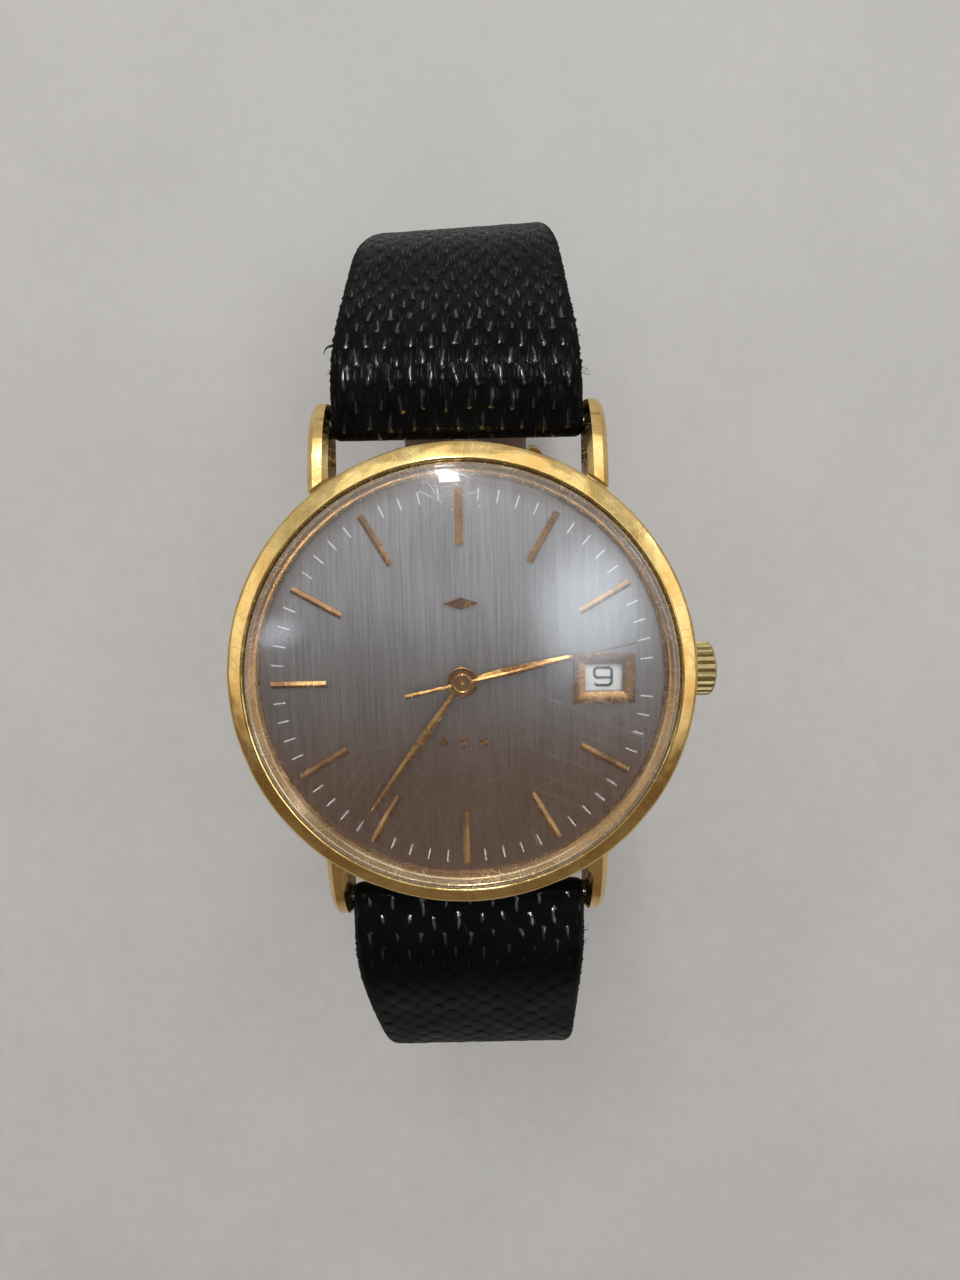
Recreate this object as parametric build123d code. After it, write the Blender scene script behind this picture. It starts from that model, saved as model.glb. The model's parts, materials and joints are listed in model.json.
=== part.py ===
from build123d import *
import os
from math import atan2, cos, degrees, hypot, pi, radians, sin

# A round, self-winding wristwatch with a date window, on an open two-piece strap.
# Millimetres. +Z points out of the dial, +Y to twelve o'clock and +X to the crown.
# The origin is the centre of the case back's flat outer face, on the axis of the hands.

# Case, seen from the front
BEZEL_R = 17.5
BEZEL_IN_R = 16.1
CASE_R = 17.2
CASE_BORE_R = 14.4
BACK_R = 14.9
BACK_FLAT_R = 14.0
DIAL_R = 15.5
DIAL_VISIBLE_R = 15.0
RING_OUT_R = 15.75
MOVEMENT_R = 12.8

# Case, up the hand axis
BACK_Z = 0.9
CASE_TOP_Z = 6.6
BEZEL_TOP_Z = 7.75
CRYSTAL_TOP_Z = 9.8
CRYSTAL_WALL = 0.8
BAND_FOOT_Z = 0.6
BACK_SEAT_Z = 1.15
SPIGOT_Z = 1.7
SPIGOT_WALL = 0.77
SNUG = 0.03

# The crystal's two domes: radius at the edge, and rise
CRYSTAL_DOME = (15.2, 1.25)
CRYSTAL_HOLLOW = (14.9, 1.2)

# Lugs and spring bars, for a standard 19 mm strap
LUG_WIDTH = 19.0
LUG_THICK = 1.5
LUG_ROOT_Y = 11.5
LUG_CORNER_R = 0.75
LUG_BEVEL = 0.4
LUG_REACH = 1.65
GROOVE_R = 17.85
GROOVE_Z = 5.0
BAR_Y = 19.0
BAR_Z = 2.4
BAR_R = 0.75
BAR_PIVOT_R = 0.4
BAR_HALF = 9.2
BAR_PIVOT_X = 10.0
BAR_HOLE_X = 10.3
RUN_GAP = 0.05

# Crown and stem, on an axis along X
STEM_Z = 4.0
STEM_R = 0.42
CROWN_X = (17.35, 19.6)
CROWN_R = 2.08
CROWN_RECESS_R = 1.3
CROWN_RECESS_X = 18.4
TUBE_R = (0.55, 1.0)
TUBE_END_X = 18.1
CROWN_GASKET_R = (1.05, 1.25)
CROWN_GASKET_X = (17.5, 17.9)
CROWN_FACE_RISE = 0.45
FLUTES = 22
FLUTE_DEPTH = 0.18
FLUTE_SHARE = 0.8

# Movement layers, from the case back up to the dial
ROTOR_Z = (1.1, 1.3)
ROTOR_RIM_Z = (0.98, 1.45)
WINDING_Z = (1.6, 1.9)
BRIDGE_Z = (2.0, 2.5)
PLATE_Z = (4.3, 5.2)
DIAL_Z = (6.2, 6.6)
ARBOR_Z = (BRIDGE_Z[1] + RUN_GAP, PLATE_Z[0] - RUN_GAP)
ARBOR_R = 0.12
STUD_R = 0.3
JEWEL_R = 0.45

# Plates, bridges and screws
DIAL_WALL_R = 12.0
DATE_SEAT_R = 11.7
CENTRE_HOLE_R = 0.6
KEYLESS_SLOT = (9.6, 7.2, 2.6, 0.9)
BRIDGE_R = 12.5
BARREL_BRIDGE_Y = 1.65
TRAIN_BRIDGE_Y = 1.5
TRAIN_BRIDGE_X = 4.6
BALANCE_ROOM_R = 4.0
COCK_HALF = 1.3
FOOT_R = 0.9
SCREW_R = 0.3
SCREW_HEAD_R = 0.6
SCREW_HEAD_Z = 1.62
SCREW_SLOT = 0.14
PALLET_BRIDGE_Z = (3.38, 3.5)
PALLET_BRIDGE_HALF = 0.4
PALLET_BRIDGE_REACH = 2.0
PALLET_FOOT_R = 0.38

# Going train: teeth and layers. The train runs 8 x 7.5 = 60 turns of the seconds to one.
BARREL_TEETH = 72
CENTRE_PINION_TEETH = 9
CENTRE_TEETH = 64
THIRD_PINION_TEETH = 8
THIRD_TEETH = 60
FOURTH_PINION_TEETH = 8
FOURTH_TEETH = 60
ESCAPE_PINION_TEETH = 6
ESCAPE_TEETH = 15
FOURTH_Z = (2.62, 2.74)
THIRD_Z = (2.9, 3.02)
CENTRE_Z = (3.2, 3.35)
BARREL_Z = (3.45, 4.2)
BARREL_TEETH_Z = (4.0, 4.2)
ESCAPE_Z = (3.65, 3.8)
BALANCE_Z = (3.0, 3.3)
BARREL_WALL_R = (4.55, 4.8)
BARREL_HOLLOW_Z = (3.57, 4.08)
BARREL_ARBOR_R = 0.8
BARREL_BORE_R = 0.86
MAINSPRING = ((1.1, 4.4), 9, 0.1, (3.62, 4.03))
HAIRSPRING = ((0.5, 2.1), 8, 0.06, (2.65, 2.85))
WHEEL_HUB_R = 0.9
WHEEL_ARMS = 5
CENTRE_TUBE_Z = (4.25, 7.25)
ESCAPE_ROOT_R = 1.35
ESCAPE_PINION_Z = (2.58, 2.85)

# Motion work and date work, between the main plate and the dial
CANNON_TEETH = 12
MINUTE_TEETH = 36
MINUTE_PINION_TEETH = 10
HOUR_TEETH = 40
HOUR_DATE_TEETH = 18
DATE_WHEEL_TEETH = 36
MINUTE_WHEEL_Z = (5.3, 5.45)
HOUR_WHEEL_Z = (5.6, 5.72)
DATE_WHEEL_Z = (5.78, 5.88)
DATE_DISC_Z = (5.95, 6.08)
DATE_DISC_R = (9.2, 11.9)
DATE_TEETH = 31
DATE_TOOTH_R = 0.2
DATE_OPENING = (2.77, 2.07)
DATE_FINGER = (3.1, 30)
JUMPER_PIVOT = (6.2, 128)
JUMPER_TIP = (8.6, 100)
CANNON_Z = (5.25, 5.5)
DATE_X = 10.5

# Hands: length from the axis, and the height of the underside
HOUR_HAND = (8.5, 7.0)
MINUTE_HAND = (12.1, 7.3)
SECONDS_HAND = (13.0, 7.6)
HOUR_ANGLE = 90 - 78
MINUTE_ANGLE = 90 - 216
SECONDS_ANGLE = 90 - 77.7
HAND_THICK = 0.12
HUB_THICK = 0.18
SECONDS_HUB_THICK = 0.22
SECONDS_TAIL = 4.3
SECONDS_ARBOR_R = 0.12
CENTRE_TUBE_R = (0.17, 0.32)
CANNON_PIPE_R = 0.5
HOUR_PIPE_R = (0.56, 0.76)

# Wheel centres, each as a distance and a bearing from the hand axis or another wheel
BARREL_AT = (5.85, 70)
THIRD_AT = (4.6, 200)
ESCAPE_AT = (4.62, 265)
ESCAPE_R = 1.9
PALLET_FROM_ESCAPE = (2.5, -35)
BALANCE_FROM_ESCAPE = (5.2, -35)
BALANCE_R = 3.6
MINUTE_WHEEL_AT = (2.4, 150)
DATE_WHEEL_AT = (5.2, -75)
CROWN_WHEEL_XY = (7.2, 0.0)
CROWN_WHEEL_TEETH = 35
CROWN_WHEEL_HUB_R = 0.6
RATCHET_TEETH = 80
WINDING_PINION_TEETH = 14
CONTRATE_Z = (2.6, 2.9)
CLICK_PIVOT = (7.0, 160)
CLICK_TIP = (5.75, 152)

# Keyless work, along the stem
STEM_X = 6.2
SLIDING_PINION_X = (7.5, 8.6)
SLIDING_GROOVE_X = (7.95, 8.25)
WINDING_PINION_X = (8.8, 9.75)
SETTING_GROOVE_X = (10.0, 10.4)
KEYLESS_Z = (5.25, 5.45)
SETTING_ARM = 3.0
YOKE_ARM = 4.0
LEVER_HALF = 0.4
SETTING_GROOVE_R = 0.25
SETTING_STUD = (0.12, 4.3)
SLIDING_GROOVE_R = 0.6
YOKE_STUD = (0.1, 4.66)
SLIDING_PINION_R = 0.85
WINDING_PINION_R = 0.9

# Winding rotor
ROTOR_R = 12.3
ROTOR_RIM_R = 10.8
ROTOR_HUB = (0.6, 1.7, 1.5)
ROTOR_POST_R = 0.55
ROTOR_HEAD = (0.95, 0.96, 1.05)

# Applied pieces on the dial
MARKER_START = 10.1
MARKER_LENGTH = 4.1
MARKER_HALF = 0.25
TWELVE_HALF = 0.29
MARKER_Z = (0.2, 0.36)
FRAME_SIZE = (4.6, 3.7)
FRAME_MOUTH = (4.2, 3.3)
FRAME_THICK = 0.3
LOZENGE = (1.3, 0.45, 0.22)
LOZENGE_Y = 5.8
STUD_SPOTS = [(-1.5, -4.7), (0.0, -4.7), (1.5, -4.7)]

# Strap: a leather skin over a lining, in two halves that hang open round an empty wrist
STRAP_WIDTH = (18.6, 16.0)
SKIN = 1.6
LINING = 0.8
STRAP_THICK = SKIN + LINING
LOOP_R = STRAP_THICK / 2
FLOOR_Z = -54.0
SPLINE_STATIONS = 16
LINING_START = 2
BUCKLE_SLOPE = 16.0
BUCKLE_RUN = 14.0
TAIL_RUN = 28.0
TAIL_TIP = 6.0
HOLE_R = 0.9
HOLE_PITCH = 4.4
FIRST_HOLE = 9.0
HOLES = 5

# Keepers: distance from the buckle's bar to the middle of each
FIXED_KEEPER_AT = 5.2
FLOATING_KEEPER_AT = 11.0
KEEPER_WIDE = 3.2
KEEPER_WALL = 0.8
TAIL_ROOM = 2.0

# Buckle, in the plane of the strap's end
BUCKLE_ROD = 1.8
BUCKLE_IN = 8.4
BUCKLE_REACH = 10.5
BUCKLE_BAR_R = 0.7
BUCKLE_PIVOT_R = 0.45
BUCKLE_EAR = 1.4
BUCKLE_CORNER_R = 1.3
BAR_FORWARD = 0.5
TANG_HALF = 1.0
TANG_EYE_R = 1.25
TANG_SIZE = (1.3, 0.6)
TANG_SLOT = (3.0, 6.0)

# Long enough to cut right through any piece
THROUGH = 24

# The outer face of each half from its spring bar, as (y, z), up to its straight end
UPPER_ROUTE = [(BAR_Y, BAR_Z + LOOP_R), (22.5, 4.1), (26.0, 2.0), (30.0, -2.9), (34.4, -8.9),
               (37.4, -15.5), (39.8, -23.3), (40.9, -32.0), (38.6, -41.0), (32.4, -47.2)]
LOWER_ROUTE = [(-BAR_Y, BAR_Z + LOOP_R), (-22.5, 4.4), (-26.5, 3.0), (-31.0, -0.5), (-36.8, -6.6),
               (-41.4, -14.0), (-43.6, -23.5), (-42.2, -34.0), (-37.4, -43.0), (-30.5, -50.0),
               (-22.0, FLOOR_Z)]


def polar(distance, bearing, start=(0, 0)):
    """A point at a distance and bearing (degrees) from a start point."""
    a = radians(bearing)
    return (start[0] + distance * cos(a), start[1] + distance * sin(a))


BARREL_XY = polar(*BARREL_AT)
THIRD_XY = polar(*THIRD_AT)
ESCAPE_XY = polar(*ESCAPE_AT)
PALLET_XY = polar(*PALLET_FROM_ESCAPE, start=ESCAPE_XY)
BALANCE_XY = polar(*BALANCE_FROM_ESCAPE, start=ESCAPE_XY)
MINUTE_WHEEL_XY = polar(*MINUTE_WHEEL_AT)
DATE_WHEEL_XY = polar(*DATE_WHEEL_AT)
WINDING_SPAN = hypot(BARREL_XY[0] - CROWN_WHEEL_XY[0], BARREL_XY[1] - CROWN_WHEEL_XY[1])
RATCHET_BEARING = degrees(atan2(CROWN_WHEEL_XY[1] - BARREL_XY[1], CROWN_WHEEL_XY[0] - BARREL_XY[0]))
CROWN_WHEEL_R = WINDING_SPAN * CROWN_WHEEL_TEETH / (CROWN_WHEEL_TEETH + RATCHET_TEETH)
COCK_FOOT_XY = (9.6, -4.6)
TRAIN_FEET_XY = [(-10.6, -2.5), (-6.5, -9.3)]
BARREL_FEET_XY = [(-6.5, 9.3), (-10.4, 5.0), (9.0, 8.2)]


# ---------------------------------------------------------------- helpers

def disc(radius, z, at=(0, 0)):
    """A flat disc between two heights."""
    return Pos(at[0], at[1], (z[0] + z[1]) / 2) * Cylinder(radius, z[1] - z[0])


def ring(radii, z, at=(0, 0)):
    """A flat ring between two heights."""
    return disc(radii[1], z, at) - disc(radii[0], z, at)


def turned(*points):
    """A solid turned about the hand axis from an (r, z) outline."""
    return revolve(Plane.XZ * Polygon(*points, align=None), Axis.Z)


def rod(radius, x, y=0.0, z=STEM_Z):
    """A round rod along X between two places."""
    return Pos((x[0] + x[1]) / 2, y, z) * Rot(0, 90, 0) * Cylinder(radius, x[1] - x[0])


def link(start, end, half_width, z):
    """A flat bar with round ends between two points."""
    length = hypot(end[0] - start[0], end[1] - start[1])
    bearing = degrees(atan2(end[1] - start[1], end[0] - start[0]))
    middle = ((start[0] + end[0]) / 2, (start[1] + end[1]) / 2)
    web = Pos(middle[0], middle[1], (z[0] + z[1]) / 2) * Rot(0, 0, bearing)
    bar = web * Box(length, 2 * half_width, z[1] - z[0])
    return bar + disc(half_width, z, start) + disc(half_width, z, end)


def gear(teeth, pitch_r, z, at=(0, 0), toward=0.0, gap=False):
    """A spur wheel with a tooth, or a gap, facing a bearing."""
    module = 2 * pitch_r / teeth
    tip_r = pitch_r + 0.7 * module
    root_r = pitch_r - 0.95 * module
    pitch = 360 / teeth
    first = toward + (pitch / 2 if gap else 0)
    outline = []
    for k in range(teeth):
        for radius, share in ((root_r, -0.25), (tip_r, -0.11), (tip_r, 0.11), (root_r, 0.25)):
            outline.append(polar(radius, first + (k + share) * pitch))
    return Pos(at[0], at[1], z[0]) * extrude(Polygon(*outline, align=None), z[1] - z[0])


def windows(wheel, count, inner_r, outer_r, z, at=(0, 0)):
    """Cut round windows between a wheel's arms."""
    middle = (inner_r + outer_r) / 2
    for k in range(count):
        spot = polar(middle, 360 * k / count, at)
        wheel -= disc(0.42 * (outer_r - inner_r), z, spot)
    return wheel


def spiral(radii, turns, thick, z, at=(0, 0)):
    """A flat spring wound as a spiral strip."""
    steps = 20 * turns
    outer = []
    inner = []
    for k in range(steps + 1):
        radius = radii[0] + (radii[1] - radii[0]) * k / steps
        outer.append(polar(radius + thick / 2, 18 * k))
        inner.append(polar(radius - thick / 2, 18 * k))
    outline = Polygon(*outer, *reversed(inner), align=None)
    return Pos(at[0], at[1], z[0]) * extrude(outline, z[1] - z[0])


# ---------------------------------------------------------------- case

def lug():
    """The lug right of twelve o'clock: a slim horn that curves down past the spring bar."""
    x_in = LUG_WIDTH / 2
    x_out = x_in + LUG_THICK
    tip_y = BAR_Y + LUG_REACH
    plan = Polygon((x_in, LUG_ROOT_Y), (x_out, LUG_ROOT_Y), (x_out, tip_y), (x_in, tip_y), align=None)
    corner = plan.vertices().sort_by(Axis.Y)[-2:].sort_by(Axis.X)[-1]
    top = Spline((12.0, 6.3), (16.2, 5.75), (tip_y - 0.7, 3.3), (tip_y, 2.1))
    tip = ThreePointArc((tip_y, 2.1), (tip_y - 0.35, 1.2), (tip_y - 1.2, 0.85))
    under = Polyline((tip_y - 1.2, 0.85), (16.6, 1.3), (12.0, 2.2), (12.0, 6.3))
    profile = Plane.YZ * make_face(top + tip + under)
    body = extrude(profile, THROUGH) & extrude(plan, THROUGH)
    body = chamfer(body.edges().filter_by(GeomType.BSPLINE), LUG_BEVEL)
    return body & extrude(fillet(corner, LUG_CORNER_R), THROUGH)


def all_lugs():
    """The four lugs, cut clear of the case's bore, each with a groove along the bezel's edge."""
    horn = lug() - disc(CASE_BORE_R + 0.8, (0, THROUGH))
    horn -= disc(GROOVE_R, (GROOVE_Z, THROUGH))
    pair = [horn, mirror(horn, about=Plane.YZ)]
    return pair + [mirror(part, about=Plane.XZ) for part in pair]


def case_middle():
    """Case band with its dial seat, the four lugs, the stem hole and the spring bar holes."""
    middle = turned((CASE_BORE_R, BACK_SEAT_Z), (CASE_BORE_R, DIAL_Z[0]), (DIAL_R + RUN_GAP, DIAL_Z[0]),
                    (DIAL_R + RUN_GAP, CASE_TOP_Z), (CASE_R - 0.1, CASE_TOP_Z), (CASE_R, 5.8),
                    (CASE_R - 0.2, 3.2), (16.2, 1.4), (15.4, BAND_FOOT_Z), (BACK_R, BAND_FOOT_Z),
                    (BACK_R, BACK_SEAT_Z))
    for horn in all_lugs():
        middle += horn
    middle -= rod(TUBE_R[1], (CASE_BORE_R - 1, CASE_R + 1))
    for end in (-1, 1):
        middle -= rod(BAR_PIVOT_R + RUN_GAP, (-BAR_HOLE_X, BAR_HOLE_X), end * BAR_Y, BAR_Z)
    return middle


def bezel():
    """Polished ring that slopes outward and grips the crystal."""
    return turned((BEZEL_IN_R, CASE_TOP_Z), (CASE_R - 0.15, CASE_TOP_Z), (BEZEL_R, 6.75), (BEZEL_R, 7.0),
                  (BEZEL_R - 0.12, 7.14), (BEZEL_IN_R + 0.2, BEZEL_TOP_Z), (BEZEL_IN_R, BEZEL_TOP_Z - 0.1))


def dome_arc(edge, rise, top):
    """An arc over the axis, from its edge up to its top, as (distance from the axis, height)."""
    radius = (edge ** 2 + rise ** 2) / (2 * rise)
    half_way = top - radius + (radius ** 2 - edge ** 2 / 4) ** 0.5
    return [(edge, top - rise), (edge / 2, half_way), (0, top)]


def crystal():
    """Domed acrylic crystal with an upright skirt."""
    outer = dome_arc(*CRYSTAL_DOME, CRYSTAL_TOP_Z)
    inner = dome_arc(*CRYSTAL_HOLLOW, CRYSTAL_TOP_Z - CRYSTAL_WALL)
    foot = Polyline(inner[0], (RING_OUT_R, 7.65), (RING_OUT_R, CASE_TOP_Z), (BEZEL_IN_R, CASE_TOP_Z),
                    (BEZEL_IN_R, 7.75))
    corner = ThreePointArc((BEZEL_IN_R, 7.75), (15.85, 8.3), outer[0])
    axis = Line(outer[2], inner[2])
    outline = make_face(ThreePointArc(*outer) + axis + ThreePointArc(*inner) + foot + corner)
    return revolve(Plane.XZ * outline, Axis.Z)


def crystal_tension_ring():
    """Bright sloping ring that holds the crystal's skirt out from inside."""
    return turned((DIAL_VISIBLE_R, DIAL_Z[1]), (RING_OUT_R, DIAL_Z[1]), (RING_OUT_R, 7.6),
                  (RING_OUT_R - 0.2, 7.6), (DIAL_VISIBLE_R, 6.8))


def case_back():
    """Snap-on back with a flat outer face, a bevel and a spigot."""
    rim = BACK_R - SNUG
    spigot_out = CASE_BORE_R - SNUG
    spigot_in = spigot_out - SPIGOT_WALL
    return turned((0, 0), (BACK_FLAT_R, 0), (rim, BACK_Z / 2), (rim, BACK_Z), (spigot_out, BACK_Z),
                  (spigot_out, SPIGOT_Z), (spigot_in, SPIGOT_Z), (spigot_in, BACK_Z), (0, BACK_Z))


def case_back_gasket():
    """Seal between the back's rim and the case."""
    return ring((CASE_BORE_R + RUN_GAP, BACK_R - 2 * RUN_GAP), (BACK_Z, BACK_SEAT_Z))


def movement_holder_ring():
    """Casing ring that centres the movement and carries the dial's edge."""
    return ring((MOVEMENT_R + RUN_GAP, CASE_BORE_R - RUN_GAP), (4.6, DIAL_Z[0]))


def spring_bar(end):
    """Sprung strap pin, with a pivot at each end in the lugs."""
    pin = rod(BAR_R, (-BAR_HALF, BAR_HALF), end * BAR_Y, BAR_Z)
    return pin + rod(BAR_PIVOT_R, (-BAR_PIVOT_X, BAR_PIVOT_X), end * BAR_Y, BAR_Z)


# ---------------------------------------------------------------- crown and keyless work

def crown():
    """Fluted winding crown with a domed face and a recess over its tube."""
    shoulder = CROWN_X[1] - CROWN_FACE_RISE
    dome = ThreePointArc(*[(x, r) for r, x in dome_arc(CROWN_R, CROWN_FACE_RISE, CROWN_X[1])])
    sides = Polyline((CROWN_X[1], 0), (CROWN_RECESS_X, 0), (CROWN_RECESS_X, CROWN_RECESS_R),
                     (CROWN_X[0], CROWN_RECESS_R), (CROWN_X[0], CROWN_R - 0.15),
                     (CROWN_X[0] + 0.15, CROWN_R), (shoulder, CROWN_R))
    blank = Pos(0, 0, STEM_Z) * revolve(make_face(dome + sides), Axis.X)
    grip_x = (CROWN_X[0] + 0.2, shoulder - 0.1)
    outline = []
    for k in range(FLUTES):
        for share in (0.0, 0.2, 0.35, 0.5, 0.65, FLUTE_SHARE):
            depth = FLUTE_DEPTH * abs(sin(pi * share / FLUTE_SHARE)) ** 0.8
            outline.append(polar(CROWN_R - depth, 360 * (k + share) / FLUTES))
    grip = Rot(0, 90, 0) * extrude(Polygon(*outline, align=None), grip_x[1] - grip_x[0])
    return blank - (rod(CROWN_R + 1, grip_x) - Pos(grip_x[0], 0, STEM_Z) * grip)


def crown_tube():
    """Tube in the case wall that the crown slides over."""
    inner_x = CASE_BORE_R + RUN_GAP
    return rod(TUBE_R[1], (inner_x, TUBE_END_X)) - rod(TUBE_R[0], (inner_x - 1, TUBE_END_X + 1))


def crown_gasket():
    """Seal round the tube, inside the crown's recess."""
    around = (CROWN_GASKET_X[0] - 1, CROWN_GASKET_X[1] + 1)
    return rod(CROWN_GASKET_R[1], CROWN_GASKET_X) - rod(CROWN_GASKET_R[0], around)


def winding_stem():
    """Stem from the keyless work to the crown, with the setting lever's groove."""
    stem = rod(STEM_R, (STEM_X, CROWN_RECESS_X))
    return stem - (rod(2 * STEM_R, SETTING_GROOVE_X) - rod(SETTING_GROOVE_R, SETTING_GROOVE_X))


def pinion_on_stem(x, radius, teeth):
    """A toothed sleeve that runs on the stem."""
    blank = gear(teeth, radius, (0, x[1] - x[0]))
    return Pos(x[0], 0, STEM_Z) * Rot(0, 90, 0) * blank - rod(STEM_R + RUN_GAP, x)


def sliding_pinion():
    """Sliding pinion with the yoke's groove."""
    groove = rod(2 * SLIDING_PINION_R, SLIDING_GROOVE_X) - rod(SLIDING_GROOVE_R, SLIDING_GROOVE_X)
    return pinion_on_stem(SLIDING_PINION_X, SLIDING_PINION_R, WINDING_PINION_TEETH) - groove


def winding_pinion():
    """Pinion that drives the crown wheel."""
    return pinion_on_stem(WINDING_PINION_X, WINDING_PINION_R, WINDING_PINION_TEETH)


def lever(pivot, pin, stud_r, stud_low):
    """A flat lever on the dial side, with a stud that reaches down to the stem."""
    blade = link(pivot, pin, LEVER_HALF, KEYLESS_Z)
    stud = disc(stud_r, (stud_low, KEYLESS_Z[0]), pin)
    hub = disc(STUD_R, (PLATE_Z[1], KEYLESS_Z[0]), pivot)
    return blade + stud + hub


def setting_lever():
    """Lever that rides in the stem's groove."""
    x = sum(SETTING_GROOVE_X) / 2
    return lever((x, SETTING_ARM), (x, 0), *SETTING_STUD)


def yoke():
    """Lever that rides in the sliding pinion's groove."""
    x = sum(SLIDING_GROOVE_X) / 2
    return lever((x, -YOKE_ARM), (x, 0), *YOKE_STUD)


def crown_wheel():
    """Double wheel: one side meets the winding pinion, the other the ratchet wheel."""
    outer = gear(CROWN_WHEEL_TEETH, CROWN_WHEEL_R, WINDING_Z, CROWN_WHEEL_XY, RATCHET_BEARING + 180)
    hub = disc(CROWN_WHEEL_HUB_R, (WINDING_Z[1], CONTRATE_Z[0]), CROWN_WHEEL_XY)
    return outer + hub + gear(CROWN_WHEEL_TEETH, CROWN_WHEEL_R, CONTRATE_Z, CROWN_WHEEL_XY)


def ratchet_wheel():
    """Ratchet wheel with the barrel's arbor."""
    wheel_r = WINDING_SPAN - CROWN_WHEEL_R
    wheel = gear(RATCHET_TEETH, wheel_r, WINDING_Z, BARREL_XY, RATCHET_BEARING, gap=True)
    return wheel + disc(BARREL_ARBOR_R, (WINDING_Z[1], BARREL_Z[1] + RUN_GAP), BARREL_XY)


def click():
    """Pawl beside the ratchet wheel, lifted clear of its teeth."""
    pivot = polar(*CLICK_PIVOT, start=BARREL_XY)
    tip = polar(*CLICK_TIP, start=BARREL_XY)
    post = disc(STUD_R, (WINDING_Z[1], BRIDGE_Z[0]), pivot)
    return link(pivot, tip, 0.2, WINDING_Z) + disc(0.5, WINDING_Z, pivot) + post


# ---------------------------------------------------------------- plates and bridges

def main_plate():
    """Main plate with the stem's slot, the jewel holes and the wall that carries the dial."""
    plate = disc(MOVEMENT_R, PLATE_Z)
    plate += ring((DIAL_WALL_R, MOVEMENT_R), (PLATE_Z[1], DIAL_Z[0]))
    plate += ring((DATE_SEAT_R, DIAL_WALL_R), (PLATE_Z[1], DATE_DISC_Z[0] - RUN_GAP))
    plate -= disc(CENTRE_HOLE_R, PLATE_Z)
    slot_x, slot_long, slot_wide, slot_deep = KEYLESS_SLOT
    plate -= Pos(slot_x, 0, sum(PLATE_Z) / 2) * Box(slot_long, slot_wide, slot_deep)
    plate -= rod(STEM_R + 3 * RUN_GAP, (DIAL_WALL_R, MOVEMENT_R + 1))
    for spot in (THIRD_XY, ESCAPE_XY, PALLET_XY, BALANCE_XY):
        plate -= disc(JEWEL_R, PLATE_Z, spot)
    return plate


def footed(bridge, feet):
    """Add feet down to the main plate, each drilled for its screw."""
    for spot in feet:
        bridge += disc(FOOT_R, (BRIDGE_Z[1], PLATE_Z[0]), spot)
    for spot in feet:
        bridge -= disc(SCREW_R, (BRIDGE_Z[0], PLATE_Z[0]), spot)
    return bridge


def bridge_part(y_low, y_high, x_high):
    """Part of a round bridge between straight edges."""
    wide = x_high + THROUGH
    window = Pos((x_high - THROUGH) / 2, (y_low + y_high) / 2) * Box(wide, y_high - y_low, THROUGH)
    return disc(BRIDGE_R, BRIDGE_Z) & window


def barrel_bridge():
    """Bridge over the barrel and the winding wheels."""
    bridge = bridge_part(BARREL_BRIDGE_Y, THROUGH, THROUGH)
    bridge += link(CROWN_WHEEL_XY, (CROWN_WHEEL_XY[0], 2.0), 1.6, BRIDGE_Z)
    bridge -= disc(BARREL_BORE_R, BRIDGE_Z, BARREL_XY)
    bridge -= disc(CROWN_WHEEL_HUB_R + 2 * RUN_GAP, BRIDGE_Z, CROWN_WHEEL_XY)
    return footed(bridge, BARREL_FEET_XY)


def train_bridge():
    """Bridge over the going train."""
    bridge = bridge_part(-THROUGH, TRAIN_BRIDGE_Y, TRAIN_BRIDGE_X)
    bridge -= disc(BALANCE_ROOM_R, BRIDGE_Z, BALANCE_XY)
    for spot in (THIRD_XY, ESCAPE_XY):
        bridge -= disc(JEWEL_R, BRIDGE_Z, spot)
    return footed(bridge, TRAIN_FEET_XY)


def balance_cock():
    """Cock that holds the balance's upper pivot."""
    cock = link(BALANCE_XY, COCK_FOOT_XY, COCK_HALF, BRIDGE_Z) - disc(JEWEL_R, BRIDGE_Z, BALANCE_XY)
    return footed(cock, [COCK_FOOT_XY])


def pallet_bridge():
    """Low bar over the pallet fork, on two feet."""
    across = PALLET_FROM_ESCAPE[1] + 90
    ends = [polar(side * PALLET_BRIDGE_REACH, across, PALLET_XY) for side in (1, -1)]
    bar = link(ends[0], ends[1], PALLET_BRIDGE_HALF, PALLET_BRIDGE_Z)
    for spot in ends:
        bar += disc(PALLET_FOOT_R, (PALLET_BRIDGE_Z[1], PLATE_Z[0]), spot)
    return bar


def movement_screws():
    """Screws of the bridges: slotted heads on the bridges, shanks in their feet."""
    screws = []
    for spot in TRAIN_FEET_XY + BARREL_FEET_XY + [COCK_FOOT_XY]:
        head = disc(SCREW_HEAD_R, (SCREW_HEAD_Z, BRIDGE_Z[0]), spot)
        slot = Pos(spot[0], spot[1], SCREW_HEAD_Z) * Box(3 * SCREW_HEAD_R, SCREW_SLOT, 2 * SCREW_SLOT)
        screws.append(head - slot + disc(SCREW_R, (BRIDGE_Z[0], PLATE_Z[0]), spot))
    return Compound(children=screws)


def jewels():
    """Ring stones pressed into the plate, the train bridge and the balance cock."""
    stones = []
    for spot in (THIRD_XY, ESCAPE_XY, PALLET_XY, BALANCE_XY):
        stones.append(disc(JEWEL_R, PLATE_Z, spot))
    for spot in (THIRD_XY, ESCAPE_XY, BALANCE_XY):
        stones.append(disc(JEWEL_R, BRIDGE_Z, spot))
    return Compound(children=stones)


# ---------------------------------------------------------------- going train

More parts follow.
